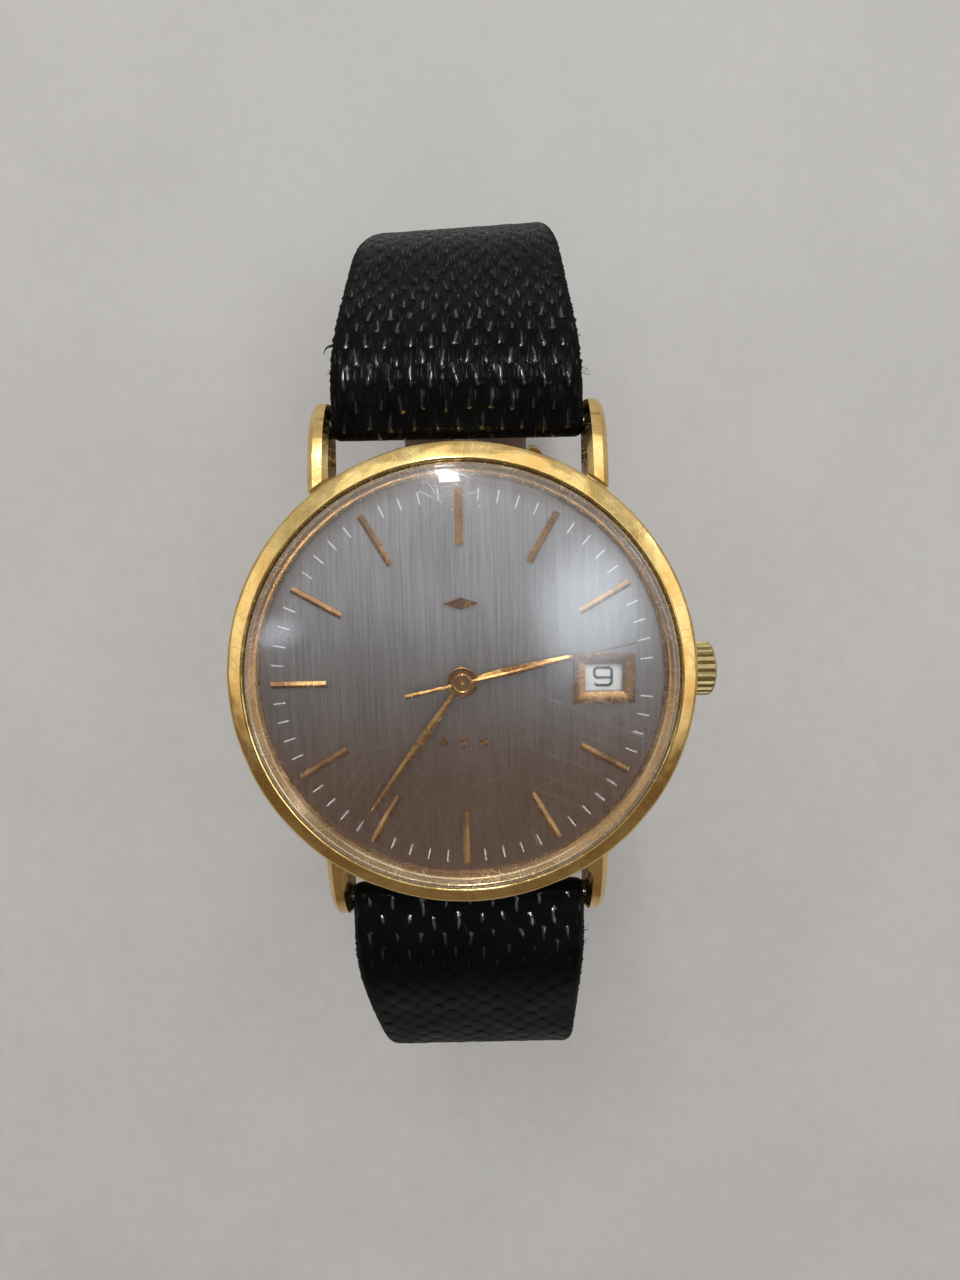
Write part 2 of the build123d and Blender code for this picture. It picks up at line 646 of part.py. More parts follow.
def barrel():
    """Toothed drum with a hollow for the mainspring."""
    teeth_r = BARREL_AT[0] * BARREL_TEETH / (BARREL_TEETH + CENTRE_PINION_TEETH)
    rim = gear(BARREL_TEETH, teeth_r, BARREL_TEETH_Z, BARREL_XY, BARREL_AT[1] + 180)
    drum = disc(BARREL_WALL_R[1], BARREL_Z, BARREL_XY)
    drum -= disc(BARREL_WALL_R[0], BARREL_HOLLOW_Z, BARREL_XY)
    bore = disc(BARREL_BORE_R, BARREL_Z, BARREL_XY)
    return rim - disc(sum(BARREL_WALL_R) / 2, BARREL_TEETH_Z, BARREL_XY) + drum - bore


def mainspring():
    """Power spring coiled in the barrel."""
    return spiral(*MAINSPRING, BARREL_XY)


def center_wheel():
    """Centre wheel, its pinion and the hollow arbor that carries the minute hand."""
    share = CENTRE_TEETH / (CENTRE_TEETH + THIRD_PINION_TEETH)
    pinion_r = BARREL_AT[0] * CENTRE_PINION_TEETH / (BARREL_TEETH + CENTRE_PINION_TEETH)
    wheel = gear(CENTRE_TEETH, THIRD_AT[0] * share, CENTRE_Z, toward=THIRD_AT[1])
    wheel = windows(wheel, WHEEL_ARMS, WHEEL_HUB_R, 3.5, CENTRE_Z)
    pinion_z = (CENTRE_Z[1], CENTRE_TUBE_Z[0])
    pinion = gear(CENTRE_PINION_TEETH, pinion_r, pinion_z, toward=BARREL_AT[1], gap=True)
    tube = disc(CENTRE_TUBE_R[1], CENTRE_TUBE_Z)
    return wheel + pinion + tube - disc(CENTRE_TUBE_R[0], (CENTRE_Z[0], CENTRE_TUBE_Z[1]))


def third_wheel():
    """Third wheel and pinion."""
    pinion_r = THIRD_AT[0] * THIRD_PINION_TEETH / (CENTRE_TEETH + THIRD_PINION_TEETH)
    wheel_r = THIRD_AT[0] * THIRD_TEETH / (THIRD_TEETH + FOURTH_PINION_TEETH)
    inward = THIRD_AT[1] + 180
    wheel = gear(THIRD_TEETH, wheel_r, THIRD_Z, THIRD_XY, inward)
    wheel = windows(wheel, WHEEL_ARMS, WHEEL_HUB_R, 3.4, THIRD_Z, THIRD_XY)
    pinion = gear(THIRD_PINION_TEETH, pinion_r, (THIRD_Z[1], 3.42), THIRD_XY, inward, gap=True)
    return wheel + pinion + disc(ARBOR_R, ARBOR_Z, THIRD_XY)


def fourth_wheel():
    """Fourth wheel, its pinion and the long arbor of the seconds hand."""
    wheel_r = ESCAPE_AT[0] * FOURTH_TEETH / (FOURTH_TEETH + ESCAPE_PINION_TEETH)
    pinion_r = THIRD_AT[0] * FOURTH_PINION_TEETH / (THIRD_TEETH + FOURTH_PINION_TEETH)
    wheel = gear(FOURTH_TEETH, wheel_r, FOURTH_Z, toward=ESCAPE_AT[1])
    wheel = windows(wheel, WHEEL_ARMS, WHEEL_HUB_R, 3.5, FOURTH_Z)
    pinion = gear(FOURTH_PINION_TEETH, pinion_r, (FOURTH_Z[1], 3.1), toward=THIRD_AT[1], gap=True)
    return wheel + pinion + disc(SECONDS_ARBOR_R, (ARBOR_Z[0], SECONDS_HAND[1]))


def escape_wheel():
    """Escape wheel with leaning pointed teeth, and its pinion."""
    pinion_r = ESCAPE_AT[0] * ESCAPE_PINION_TEETH / (FOURTH_TEETH + ESCAPE_PINION_TEETH)
    pitch = 360 / ESCAPE_TEETH
    outline = []
    for k in range(ESCAPE_TEETH):
        for radius, share in ((ESCAPE_ROOT_R, 0.0), (ESCAPE_R, 0.42), (ESCAPE_R, 0.52), (ESCAPE_ROOT_R, 0.3)):
            outline.append(polar(radius, (k + share) * pitch))
    wheel = Pos(*ESCAPE_XY, ESCAPE_Z[0]) * extrude(Polygon(*outline, align=None), ESCAPE_Z[1] - ESCAPE_Z[0])
    inward = ESCAPE_AT[1] + 180
    pinion = gear(ESCAPE_PINION_TEETH, pinion_r, ESCAPE_PINION_Z, ESCAPE_XY, inward, gap=True)
    wheel = windows(wheel, 4, 0.25, 1.15, ESCAPE_Z, ESCAPE_XY)
    return wheel + pinion + disc(ARBOR_R, ARBOR_Z, ESCAPE_XY)


def pallet_fork():
    """Pallet fork: two arms toward the escape wheel and a forked lever toward the balance."""
    back = PALLET_FROM_ESCAPE[1] + 180
    z = ESCAPE_Z
    lever_long = 1.5
    arm_half = 0.16
    fork = link(PALLET_XY, polar(lever_long, PALLET_FROM_ESCAPE[1], PALLET_XY), arm_half, z)
    for side in (-1, 1):
        elbow = polar(1.45, back + side * 78, PALLET_XY)
        fork += link(PALLET_XY, elbow, arm_half, z)
        fork += link(elbow, polar(0.35, back, elbow), 0.13, z)
        horn = polar(lever_long, PALLET_FROM_ESCAPE[1] + side * 9, PALLET_XY)
        fork += link(horn, polar(0.5, PALLET_FROM_ESCAPE[1], horn), 0.1, z)
    return fork + disc(ARBOR_R, (PALLET_BRIDGE_Z[1] + RUN_GAP, ARBOR_Z[1]), PALLET_XY)


def balance_wheel():
    """Balance: rim, two arms, staff and roller with its impulse pin."""
    rim_wide = 0.4
    arm_z = (3.05, 3.2)
    roller_z = (3.35, 3.48)
    pin_z = (3.48, 3.58)
    wheel = ring((BALANCE_R - rim_wide, BALANCE_R), BALANCE_Z, BALANCE_XY)
    arm_ends = [polar(side * (BALANCE_R - 0.3), 20, BALANCE_XY) for side in (-1, 1)]
    wheel += link(arm_ends[0], arm_ends[1], 0.22, arm_z)
    staff = disc(0.15, ARBOR_Z, BALANCE_XY)
    roller = disc(0.8, roller_z, BALANCE_XY) + disc(STUD_R, (arm_z[1], roller_z[0]), BALANCE_XY)
    pin = disc(0.08, pin_z, polar(0.6, PALLET_FROM_ESCAPE[1] + 180, BALANCE_XY))
    return wheel + staff + roller + pin


def hairspring():
    """Flat spiral spring of the balance."""
    return spiral(*HAIRSPRING, BALANCE_XY)


def rotor():
    """Winding rotor: a thin half disc with a heavy rim."""
    half = Pos(0, -THROUGH / 2, 0) * Box(2 * THROUGH, THROUGH, THROUGH)
    bore_r, hub_r, hub_top = ROTOR_HUB
    plate = disc(ROTOR_R, ROTOR_Z) & half
    rim = ring((ROTOR_RIM_R, ROTOR_R), ROTOR_RIM_Z) & half
    hub = disc(hub_r, (ROTOR_Z[0], hub_top))
    return plate + rim + hub - disc(bore_r, (ROTOR_Z[0], hub_top))


def rotor_bearing():
    """Post on the train bridge that carries the rotor, with its retaining head."""
    head_r, head_low, head_high = ROTOR_HEAD
    return disc(ROTOR_POST_R, (head_high, BRIDGE_Z[0])) + disc(head_r, (head_low, head_high))


# ---------------------------------------------------------------- motion work and date work

def cannon_pinion():
    """Cannon pinion on the centre arbor, with the minute hand's pipe."""
    teeth_r = MINUTE_WHEEL_AT[0] * CANNON_TEETH / (CANNON_TEETH + MINUTE_TEETH)
    top = CENTRE_TUBE_Z[1]
    pinion = gear(CANNON_TEETH, teeth_r, CANNON_Z, toward=MINUTE_WHEEL_AT[1])
    return pinion + disc(CANNON_PIPE_R, (CANNON_Z[1], top)) - disc(CENTRE_TUBE_R[1], (CANNON_Z[0], top))


def minute_wheel():
    """Minute wheel and pinion, on a stud of the main plate."""
    wheel_r = MINUTE_WHEEL_AT[0] * MINUTE_TEETH / (CANNON_TEETH + MINUTE_TEETH)
    pinion_r = MINUTE_WHEEL_AT[0] * MINUTE_PINION_TEETH / (MINUTE_PINION_TEETH + HOUR_TEETH)
    inward = MINUTE_WHEEL_AT[1] + 180
    wheel = gear(MINUTE_TEETH, wheel_r, MINUTE_WHEEL_Z, MINUTE_WHEEL_XY, inward, gap=True)
    pinion = gear(MINUTE_PINION_TEETH, pinion_r, (MINUTE_WHEEL_Z[1], 5.74), MINUTE_WHEEL_XY, inward)
    return wheel + pinion


def hour_wheel():
    """Hour wheel with its date gear and the hour hand's pipe."""
    wheel_r = MINUTE_WHEEL_AT[0] * HOUR_TEETH / (MINUTE_PINION_TEETH + HOUR_TEETH)
    date_r = DATE_WHEEL_AT[0] * HOUR_DATE_TEETH / (HOUR_DATE_TEETH + DATE_WHEEL_TEETH)
    wheel = gear(HOUR_TEETH, wheel_r, HOUR_WHEEL_Z, toward=MINUTE_WHEEL_AT[1], gap=True)
    date_gear = gear(HOUR_DATE_TEETH, date_r, DATE_WHEEL_Z, toward=DATE_WHEEL_AT[1])
    pipe = disc(HOUR_PIPE_R[1], (HOUR_WHEEL_Z[0], HOUR_HAND[1]))
    return wheel + date_gear + pipe - disc(HOUR_PIPE_R[0], (HOUR_WHEEL_Z[0], HOUR_HAND[1]))


def date_wheel():
    """Wheel that turns once a day and carries the date finger."""
    wheel_r = DATE_WHEEL_AT[0] * DATE_WHEEL_TEETH / (HOUR_DATE_TEETH + DATE_WHEEL_TEETH)
    inward = DATE_WHEEL_AT[1] + 180
    wheel = gear(DATE_WHEEL_TEETH, wheel_r, DATE_WHEEL_Z, DATE_WHEEL_XY, inward, gap=True)
    finger_z = (DATE_WHEEL_Z[1], 6.02)
    finger = link(DATE_WHEEL_XY, polar(*DATE_FINGER, start=DATE_WHEEL_XY), STUD_R, finger_z)
    return wheel + finger + disc(0.4, (PLATE_Z[1] + RUN_GAP, DATE_WHEEL_Z[0]), DATE_WHEEL_XY)


def date_disc():
    """White date ring with a tooth for each day of the month."""
    ring_body = ring(DATE_DISC_R, DATE_DISC_Z)
    for k in range(DATE_TEETH):
        spot = polar(DATE_DISC_R[0], 360 * k / DATE_TEETH)
        ring_body += disc(DATE_TOOTH_R, DATE_DISC_Z, spot)
    return ring_body


def date_jumper():
    """Sprung finger that settles the date ring between days."""
    pivot = polar(*JUMPER_PIVOT)
    tip = polar(*JUMPER_TIP)
    post = disc(STUD_R, (PLATE_Z[1], DATE_DISC_Z[0]), pivot)
    return link(pivot, tip, 0.18, DATE_DISC_Z) + disc(0.5, DATE_DISC_Z, pivot) + post


# ---------------------------------------------------------------- dial and hands

def dial():
    """Dial with the date opening and the centre hole."""
    opening = Pos(DATE_X, 0, DIAL_Z[0]) * Box(*DATE_OPENING, 1)
    return disc(DIAL_R, DIAL_Z) - disc(0.95, DIAL_Z) - opening


def hour_markers():
    """Eleven applied batons with a ridge along the middle; the date takes the place of the twelfth."""
    side, ridge = MARKER_Z
    batons = []
    for hour in range(1, 13):
        if hour == 3:
            continue
        half = TWELVE_HALF if hour == 12 else MARKER_HALF
        roof = Polygon((-half, 0), (half, 0), (half, side), (0, ridge), (-half, side), align=None)
        baton = extrude(Plane.YZ * roof, MARKER_LENGTH)
        batons.append(Rot(0, 0, 90 - 30 * hour) * Pos(MARKER_START, 0, DIAL_Z[1]) * baton)
    return Compound(children=batons)


def date_window_frame():
    """Applied frame round the date, with slopes down to the opening."""
    low = Plane.XY * Rectangle(*DATE_OPENING)
    high = Plane.XY.offset(FRAME_THICK) * Rectangle(*FRAME_MOUTH)
    block = Pos(0, 0, FRAME_THICK / 2) * Box(*FRAME_SIZE, FRAME_THICK)
    return Pos(DATE_X, 0, DIAL_Z[1]) * (block - loft([low.face(), high.face()]))


def dial_ornaments():
    """Plain applied lozenge on the upper half of the dial, and three round studs on the lower half."""
    wide, high, thick = LOZENGE
    outline = Polygon((-wide, 0), (0, -high), (wide, 0), (0, high), align=None)
    lozenge = Pos(0, LOZENGE_Y, DIAL_Z[1]) * extrude(outline, thick)
    studs = [disc(STUD_R, (DIAL_Z[1], DIAL_Z[1] + 0.2), spot) for spot in STUD_SPOTS]
    return Compound(children=[lozenge, *studs])


def roofed(stations, z):
    """A slim blade along X with a ridge: (x, half width) stations, upright sides and a roof."""
    side = z + 0.45 * HAND_THICK
    top = z + HAND_THICK
    sections = []
    for x, half in stations:
        sections.append(Wire.make_polygon([(x, -half, z), (x, half, z), (x, half, side),
                                           (x, 0, top), (x, -half, side)]))
    return loft([Face(wire) for wire in sections], ruled=True)


def hand(blade, angle, hub_r, bore_r, z, hub_top):
    """A hand: a ridged blade and a round hub, turned to the time shown."""
    hub = disc(hub_r, (z, hub_top))
    return Rot(0, 0, angle) * (blade + hub - disc(bore_r, (z, hub_top)))


def hour_hand():
    """Hour hand."""
    length, z = HOUR_HAND
    blade = roofed([(0.3, 0.2), (length * 0.42, 0.36), (length - 0.5, 0.2), (length, 0.05)], z)
    return hand(blade, HOUR_ANGLE, 1.13, CANNON_PIPE_R + RUN_GAP, z, z + HUB_THICK)


def minute_hand():
    """Minute hand."""
    length, z = MINUTE_HAND
    blade = roofed([(0.3, 0.17), (length * 0.4, 0.33), (length - 0.6, 0.14), (length, 0.04)], z)
    return hand(blade, MINUTE_ANGLE, 0.95, CENTRE_TUBE_R[0], z, z + HUB_THICK)


def seconds_hand():
    """Seconds hand, with a counterweighted tail."""
    length, z = SECONDS_HAND
    blade = roofed([(-SECONDS_TAIL, 0.16), (0, 0.13), (length, 0.04)], z)
    top = z + SECONDS_HUB_THICK
    hub = disc(0.75, (z, top)) + disc(0.22, (top, top + HAND_THICK))
    return Rot(0, 0, SECONDS_ANGLE) * (blade + hub)


# ---------------------------------------------------------------- strap and buckle

def stations(route, exit_direction, run, extra):
    """Places along a strap half: the curved route, then its straight end."""
    curve = Spline(*[(0, y, z) for y, z in route])
    shares = [k / SPLINE_STATIONS for k in range(SPLINE_STATIONS + 1)]
    places = [(curve @ share, curve % share) for share in shares]
    last = curve @ 1
    forward = Vector(0, *exit_direction)
    for k in range(1, extra + 1):
        places.append((last + forward * (run * k / extra), forward))
    return places


def band(places, widths, depth, turn):
    """A flat band: at each station a rectangle between two depths under the outer face."""
    sections = []
    for (place, forward), width in zip(places, widths):
        inward = Vector(0, -forward.Z, forward.Y) * turn
        low = place + inward * depth[0]
        high = place + inward * depth[1]
        corners = [(-width / 2, low.Y, low.Z), (width / 2, low.Y, low.Z),
                   (width / 2, high.Y, high.Z), (-width / 2, high.Y, high.Z)]
        sections.append(Face(Wire.make_polygon(corners)))
    return loft(sections, ruled=True)


def tapered(count, tip=None):
    """Strap widths, evenly tapered, with a tip that narrows at the very end."""
    start, end = STRAP_WIDTH
    widths = [start + (end - start) * min(1.0, 1.25 * k / (count - 1)) for k in range(count)]
    if tip:
        widths[-1] = tip
    return widths


def buckle_end():
    """The straight end of the buckle half: direction from its spline's end to the buckle."""
    a = radians(180 + BUCKLE_SLOPE)
    return (cos(a), sin(a))


UPPER_PLACES = stations(UPPER_ROUTE, buckle_end(), BUCKLE_RUN, 2)
LOWER_PLACES = stations(LOWER_ROUTE, (1.0, 0.0), TAIL_RUN, 2)
UPPER_TURN = -1
LOWER_TURN = 1
UPPER_END, UPPER_FORWARD = UPPER_PLACES[-1]
UPPER_INWARD = Vector(0, -UPPER_FORWARD.Z, UPPER_FORWARD.Y) * UPPER_TURN
BUCKLE_BAR = UPPER_END + UPPER_INWARD * (STRAP_THICK / 2) + UPPER_FORWARD * BAR_FORWARD
BUCKLE_PLANE = Plane(origin=BUCKLE_BAR, x_dir=(1, 0, 0), z_dir=Vector(1, 0, 0).cross(UPPER_FORWARD))


def strap_skin(places, widths, turn, end):
    """Leather skin of one half, with the fold round its spring bar."""
    skin = band(places, widths, (0, SKIN), turn)
    skin += band(places[:LINING_START + 1], widths, (0, STRAP_THICK), turn)
    half = STRAP_WIDTH[0] / 2
    skin += rod(LOOP_R, (-half, half), end * BAR_Y, BAR_Z)
    return skin - rod(BAR_R + RUN_GAP, (-THROUGH, THROUGH), end * BAR_Y, BAR_Z)


def buckle_cut():
    """The tang's slot in the end of the buckle half."""
    return BUCKLE_PLANE * Pos(0, -1, 0) * Box(*TANG_SLOT, TANG_SLOT[1])


def strap_upper():
    """Buckle half, from the twelve o'clock lugs."""
    skin = strap_skin(UPPER_PLACES, tapered(len(UPPER_PLACES)), UPPER_TURN, 1)
    half = STRAP_WIDTH[1] / 2
    end = BUCKLE_BAR
    skin += rod(STRAP_THICK / 2, (-half, half), end.Y, end.Z)
    skin -= rod(BUCKLE_BAR_R, (-THROUGH, THROUGH), end.Y, end.Z)
    return skin - buckle_cut()


def strap_upper_lining():
    """Lining of the buckle half."""
    places = UPPER_PLACES[LINING_START:]
    widths = tapered(len(UPPER_PLACES))[LINING_START:]
    lining = band(places, widths, (SKIN, STRAP_THICK), UPPER_TURN)
    lining -= rod(STRAP_THICK / 2, (-THROUGH, THROUGH), BUCKLE_BAR.Y, BUCKLE_BAR.Z)
    return lining - buckle_cut()


def punched(layer):
    """Punch the adjustment holes through the tail's straight end."""
    tail_y = LOWER_PLACES[-1][0].Y
    for k in range(HOLES):
        spot = (0, tail_y - FIRST_HOLE - k * HOLE_PITCH)
        layer -= disc(HOLE_R, (FLOOR_Z - STRAP_THICK, FLOOR_Z + 2 * STRAP_THICK), spot)
    return layer


def strap_lower():
    """Tail half, from the six o'clock lugs."""
    return punched(strap_skin(LOWER_PLACES, tapered(len(LOWER_PLACES), TAIL_TIP), LOWER_TURN, -1))


def strap_lower_lining():
    """Lining of the tail half."""
    widths = tapered(len(LOWER_PLACES), TAIL_TIP)[LINING_START:]
    return punched(band(LOWER_PLACES[LINING_START:], widths, (SKIN, STRAP_THICK), LOWER_TURN))


def keeper(distance, gap):
    """A leather loop round the buckle half, with room outside it for the tail."""
    half = STRAP_WIDTH[1] / 2 + gap
    inner_face = -STRAP_THICK / 2 - gap
    outer_face = STRAP_THICK / 2 + TAIL_ROOM
    middle = (inner_face + outer_face) / 2
    deep = outer_face - inner_face
    loop = Box(2 * half + 2 * KEEPER_WALL, KEEPER_WIDE, deep + 2 * KEEPER_WALL)
    return BUCKLE_PLANE * Pos(0, -distance, middle) * (loop - Box(2 * half, KEEPER_WIDE, deep))


def buckle_frame():
    """U-shaped frame whose ears turn on the buckle's bar."""
    out = BUCKLE_IN + BUCKLE_ROD
    long = BUCKLE_REACH + BUCKLE_EAR
    shape = Pos(0, (BUCKLE_REACH - BUCKLE_EAR) / 2) * RectangleRounded(2 * out, long, BUCKLE_CORNER_R)
    hollow = Pos(0, -BUCKLE_ROD) * Rectangle(2 * BUCKLE_IN, 2 * BUCKLE_REACH)
    solid = extrude(shape - hollow, BUCKLE_ROD / 2, both=True)
    return BUCKLE_PLANE * (solid - rod(BUCKLE_PIVOT_R + RUN_GAP, (-THROUGH, THROUGH), 0, 0))


def buckle_bar():
    """Sprung bar through the end of the buckle half."""
    pin = rod(BUCKLE_BAR_R, (-STRAP_WIDTH[1] / 2, STRAP_WIDTH[1] / 2), 0, 0)
    pivot_x = BUCKLE_IN + 1.3
    return BUCKLE_PLANE * (pin + rod(BUCKLE_PIVOT_R, (-pivot_x, pivot_x), 0, 0))


def buckle_tang():
    """Tang: an eye on the bar and a prong that rests on the frame."""
    wide, thick = TANG_SIZE
    long = BUCKLE_REACH + 0.4
    eye = rod(TANG_EYE_R, (-TANG_HALF, TANG_HALF), 0, 0)
    low = BUCKLE_ROD / 2 + RUN_GAP
    prong = Pos(0, long / 2, low + thick / 2) * Box(wide, long, thick)
    neck = Pos(0, 0.6, 0.75) * Box(wide, 1.2, 1.0)
    return BUCKLE_PLANE * (eye + prong + neck - rod(BUCKLE_BAR_R + RUN_GAP, (-THROUGH, THROUGH), 0, 0))


# ---------------------------------------------------------------- all nodes

NODES = {
    "case_middle": case_middle,
    "bezel": bezel,
    "crystal": crystal,
    "crystal_tension_ring": crystal_tension_ring,
    "case_back": case_back,
    "case_back_gasket": case_back_gasket,
    "movement_holder_ring": movement_holder_ring,
    "spring_bar_12": lambda: spring_bar(1),
    "spring_bar_6": lambda: spring_bar(-1),
    "crown": crown,
    "crown_tube": crown_tube,
    "crown_gasket": crown_gasket,
    "winding_stem": winding_stem,
    "winding_pinion": winding_pinion,
    "sliding_pinion": sliding_pinion,
    "setting_lever": setting_lever,
    "yoke": yoke,
    "crown_wheel": crown_wheel,
    "ratchet_wheel": ratchet_wheel,
    "click": click,
    "main_plate": main_plate,
    "barrel_bridge": barrel_bridge,
    "train_bridge": train_bridge,
    "balance_cock": balance_cock,
    "pallet_bridge": pallet_bridge,
    "movement_screws": movement_screws,
    "jewels": jewels,
    "barrel": barrel,
    "mainspring": mainspring,
    "center_wheel": center_wheel,
    "third_wheel": third_wheel,
    "fourth_wheel": fourth_wheel,
    "escape_wheel": escape_wheel,
    "pallet_fork": pallet_fork,
    "balance_wheel": balance_wheel,
    "hairspring": hairspring,
    "rotor": rotor,
    "rotor_bearing": rotor_bearing,
    "cannon_pinion": cannon_pinion,
    "minute_wheel": minute_wheel,
    "hour_wheel": hour_wheel,
    "date_wheel": date_wheel,
    "date_disc": date_disc,
    "date_jumper": date_jumper,
    "dial": dial,
    "hour_markers": hour_markers,
    "date_window_frame": date_window_frame,
    "dial_ornaments": dial_ornaments,
    "hour_hand": hour_hand,
    "minute_hand": minute_hand,
    "seconds_hand": seconds_hand,
    "strap_upper": strap_upper,
    "strap_upper_lining": strap_upper_lining,
    "strap_lower": strap_lower,
    "strap_lower_lining": strap_lower_lining,
    "fixed_keeper": lambda: keeper(FIXED_KEEPER_AT, 0.0),
    "floating_keeper": lambda: keeper(FLOATING_KEEPER_AT, 0.15),
    "buckle_frame": buckle_frame,
    "buckle_bar": buckle_bar,
    "buckle_tang": buckle_tang,
}

os.makedirs("parts", exist_ok=True)
for node, make in NODES.items():
    export_step(make(), f"parts/{node}.step")
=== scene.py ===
import json
import random
from math import asin, cos, pi, radians, sin, sqrt

import bmesh
import bpy
import numpy as np
from mathutils import Matrix, Vector


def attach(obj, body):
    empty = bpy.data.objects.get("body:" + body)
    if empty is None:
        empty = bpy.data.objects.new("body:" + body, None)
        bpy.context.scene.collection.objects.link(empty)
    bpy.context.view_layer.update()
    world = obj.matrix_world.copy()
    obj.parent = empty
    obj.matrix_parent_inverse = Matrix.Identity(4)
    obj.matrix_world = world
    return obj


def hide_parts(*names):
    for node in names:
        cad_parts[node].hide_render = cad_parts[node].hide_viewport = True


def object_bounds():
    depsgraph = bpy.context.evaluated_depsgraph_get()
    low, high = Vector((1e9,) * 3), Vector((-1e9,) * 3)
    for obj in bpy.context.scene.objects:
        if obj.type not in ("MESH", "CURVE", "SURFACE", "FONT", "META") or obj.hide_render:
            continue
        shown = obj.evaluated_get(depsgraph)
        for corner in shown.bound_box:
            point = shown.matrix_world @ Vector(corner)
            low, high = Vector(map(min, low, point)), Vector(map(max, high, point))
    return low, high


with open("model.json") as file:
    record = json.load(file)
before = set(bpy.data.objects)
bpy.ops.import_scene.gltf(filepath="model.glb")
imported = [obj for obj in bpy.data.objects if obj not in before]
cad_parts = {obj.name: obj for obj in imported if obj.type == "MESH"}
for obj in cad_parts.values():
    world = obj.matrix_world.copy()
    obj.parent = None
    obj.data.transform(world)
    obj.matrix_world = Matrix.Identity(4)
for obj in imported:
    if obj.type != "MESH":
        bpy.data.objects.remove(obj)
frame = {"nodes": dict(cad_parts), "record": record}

# The wristwatch's looks. The frame is in metres. Lengths below are in millimetres, and are
# turned into metres where a mesh is made.

CAD_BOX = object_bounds()
MM = 0.001

# ---- what part.py says

STEM_Z = 4.0
CASE_TOP = 6.6
DIAL_TOP = 6.6
BEZEL_R = 17.5
BEZEL_TOP = 7.75
CRYSTAL_R = 16.1
SKIRT_R = 15.75
CRYSTAL_TOP = 9.8
DOME_UNDERSIDE = 9.0
CROWN_R = 2.08
DATE_TOP = 6.08
DATE_X = 10.5
DATE_HALF = (1.385, 1.035)
FRAME_HALF = (2.3, 1.85)
DAYS = 31
SHOWN_DAY = 9
BAR_Y = 19.0
BAR_Z = 2.4
SKIN = 1.6
STRAP_THICK = 2.4
LOOP_R = STRAP_THICK / 2
FLOOR_Z = -54.0
FLAP = 6.0
STRAP_WIDTH = (18.6, 16.0)
UPPER_ROUTE = [(BAR_Y, BAR_Z + LOOP_R), (22.5, 4.1), (26.0, 2.0), (30.0, -2.9), (34.4, -8.9),
               (37.4, -15.5), (39.8, -23.3), (40.9, -32.0), (38.6, -41.0), (32.4, -47.2)]
LOWER_ROUTE = [(-BAR_Y, BAR_Z + LOOP_R), (-22.5, 4.4), (-26.5, 3.0), (-31.0, -0.5),
               (-36.8, -6.6), (-41.4, -14.0), (-43.6, -23.5), (-42.2, -34.0), (-37.4, -43.0),
               (-30.5, -50.0), (-22.0, FLOOR_Z)]
BUCKLE_SLOPE = radians(196.0)
BUCKLE_RUN = 14.0
TAIL_RUN = 28.0
TAIL_TIP = 6.0
HOLE_R = 0.9
HOLE_PITCH = 4.4
FIRST_HOLE = 9.0
HOLES = 5
BAR_FORWARD = 0.5
BUCKLE_BAR_R = 0.7
FIXED_KEEPER_AT = 5.2
FLOATING_KEEPER_AT = 11.0
KEEPER_WIDE = 3.2
KEEPER_WALL = 0.8
KEEPER_CORNER = 0.8
TAIL_ROOM = 2.0

# ---- details that only the looks have

FLUTES = 22
FLUTE_DEPTH = 0.19
FLUTE_FLOOR_R = 1.4
TRACK_SPAN = (13.3, 14.2)
TRACK_HALF = 0.04
PRINT_HEIGHT = 0.014
DIGIT_WIDE = (1.3, 1.02)
DIGIT_TALL = 1.34
DIGIT_GAP = 0.22
DIGIT_HALF = 0.1
DIGIT_HEIGHT = 0.012
NOSE = 7.0
SNUG = 0.24
SNUG_RUN = 12.0
FINE_RUN = 46.0
SKIN_COLUMNS = 147
RELIEF = 0.16
KEEL = 0.05
ROLL_WIDE = 0.75
ROLL_DEEP = 0.42
LINING_START = 6.4
LINING_INSET = 0.14
# How streaked the gloss is on the half at each end of the case
STREAKED = {1: 1.0, -1: 0.15}


# ---- materials

def fill(tree, node, sockets):
    """Link other nodes' outputs to a node's sockets, or set the sockets' own values."""
    for key, value in sockets.items():
        socket = node.inputs[key.replace("_", " ") if isinstance(key, str) else key]
        if isinstance(value, bpy.types.NodeSocket):
            tree.links.new(value, socket)
        else:
            socket.default_value = value


def new_node(tree, kind, sockets=None, **props):
    node = tree.nodes.new("ShaderNode" + kind)
    for key, value in props.items():
        setattr(node, key, value)
    fill(tree, node, sockets or {})
    return node


def remap(tree, value, low, high, to_low, to_high, kind):
    """Carry a value from one range to another, clamped."""
    sockets = {"Value": value, "From Min": low, "From Max": high, "To Min": to_low,
               "To Max": to_high}
    return new_node(tree, "MapRange", sockets, interpolation_type=kind).outputs["Result"]


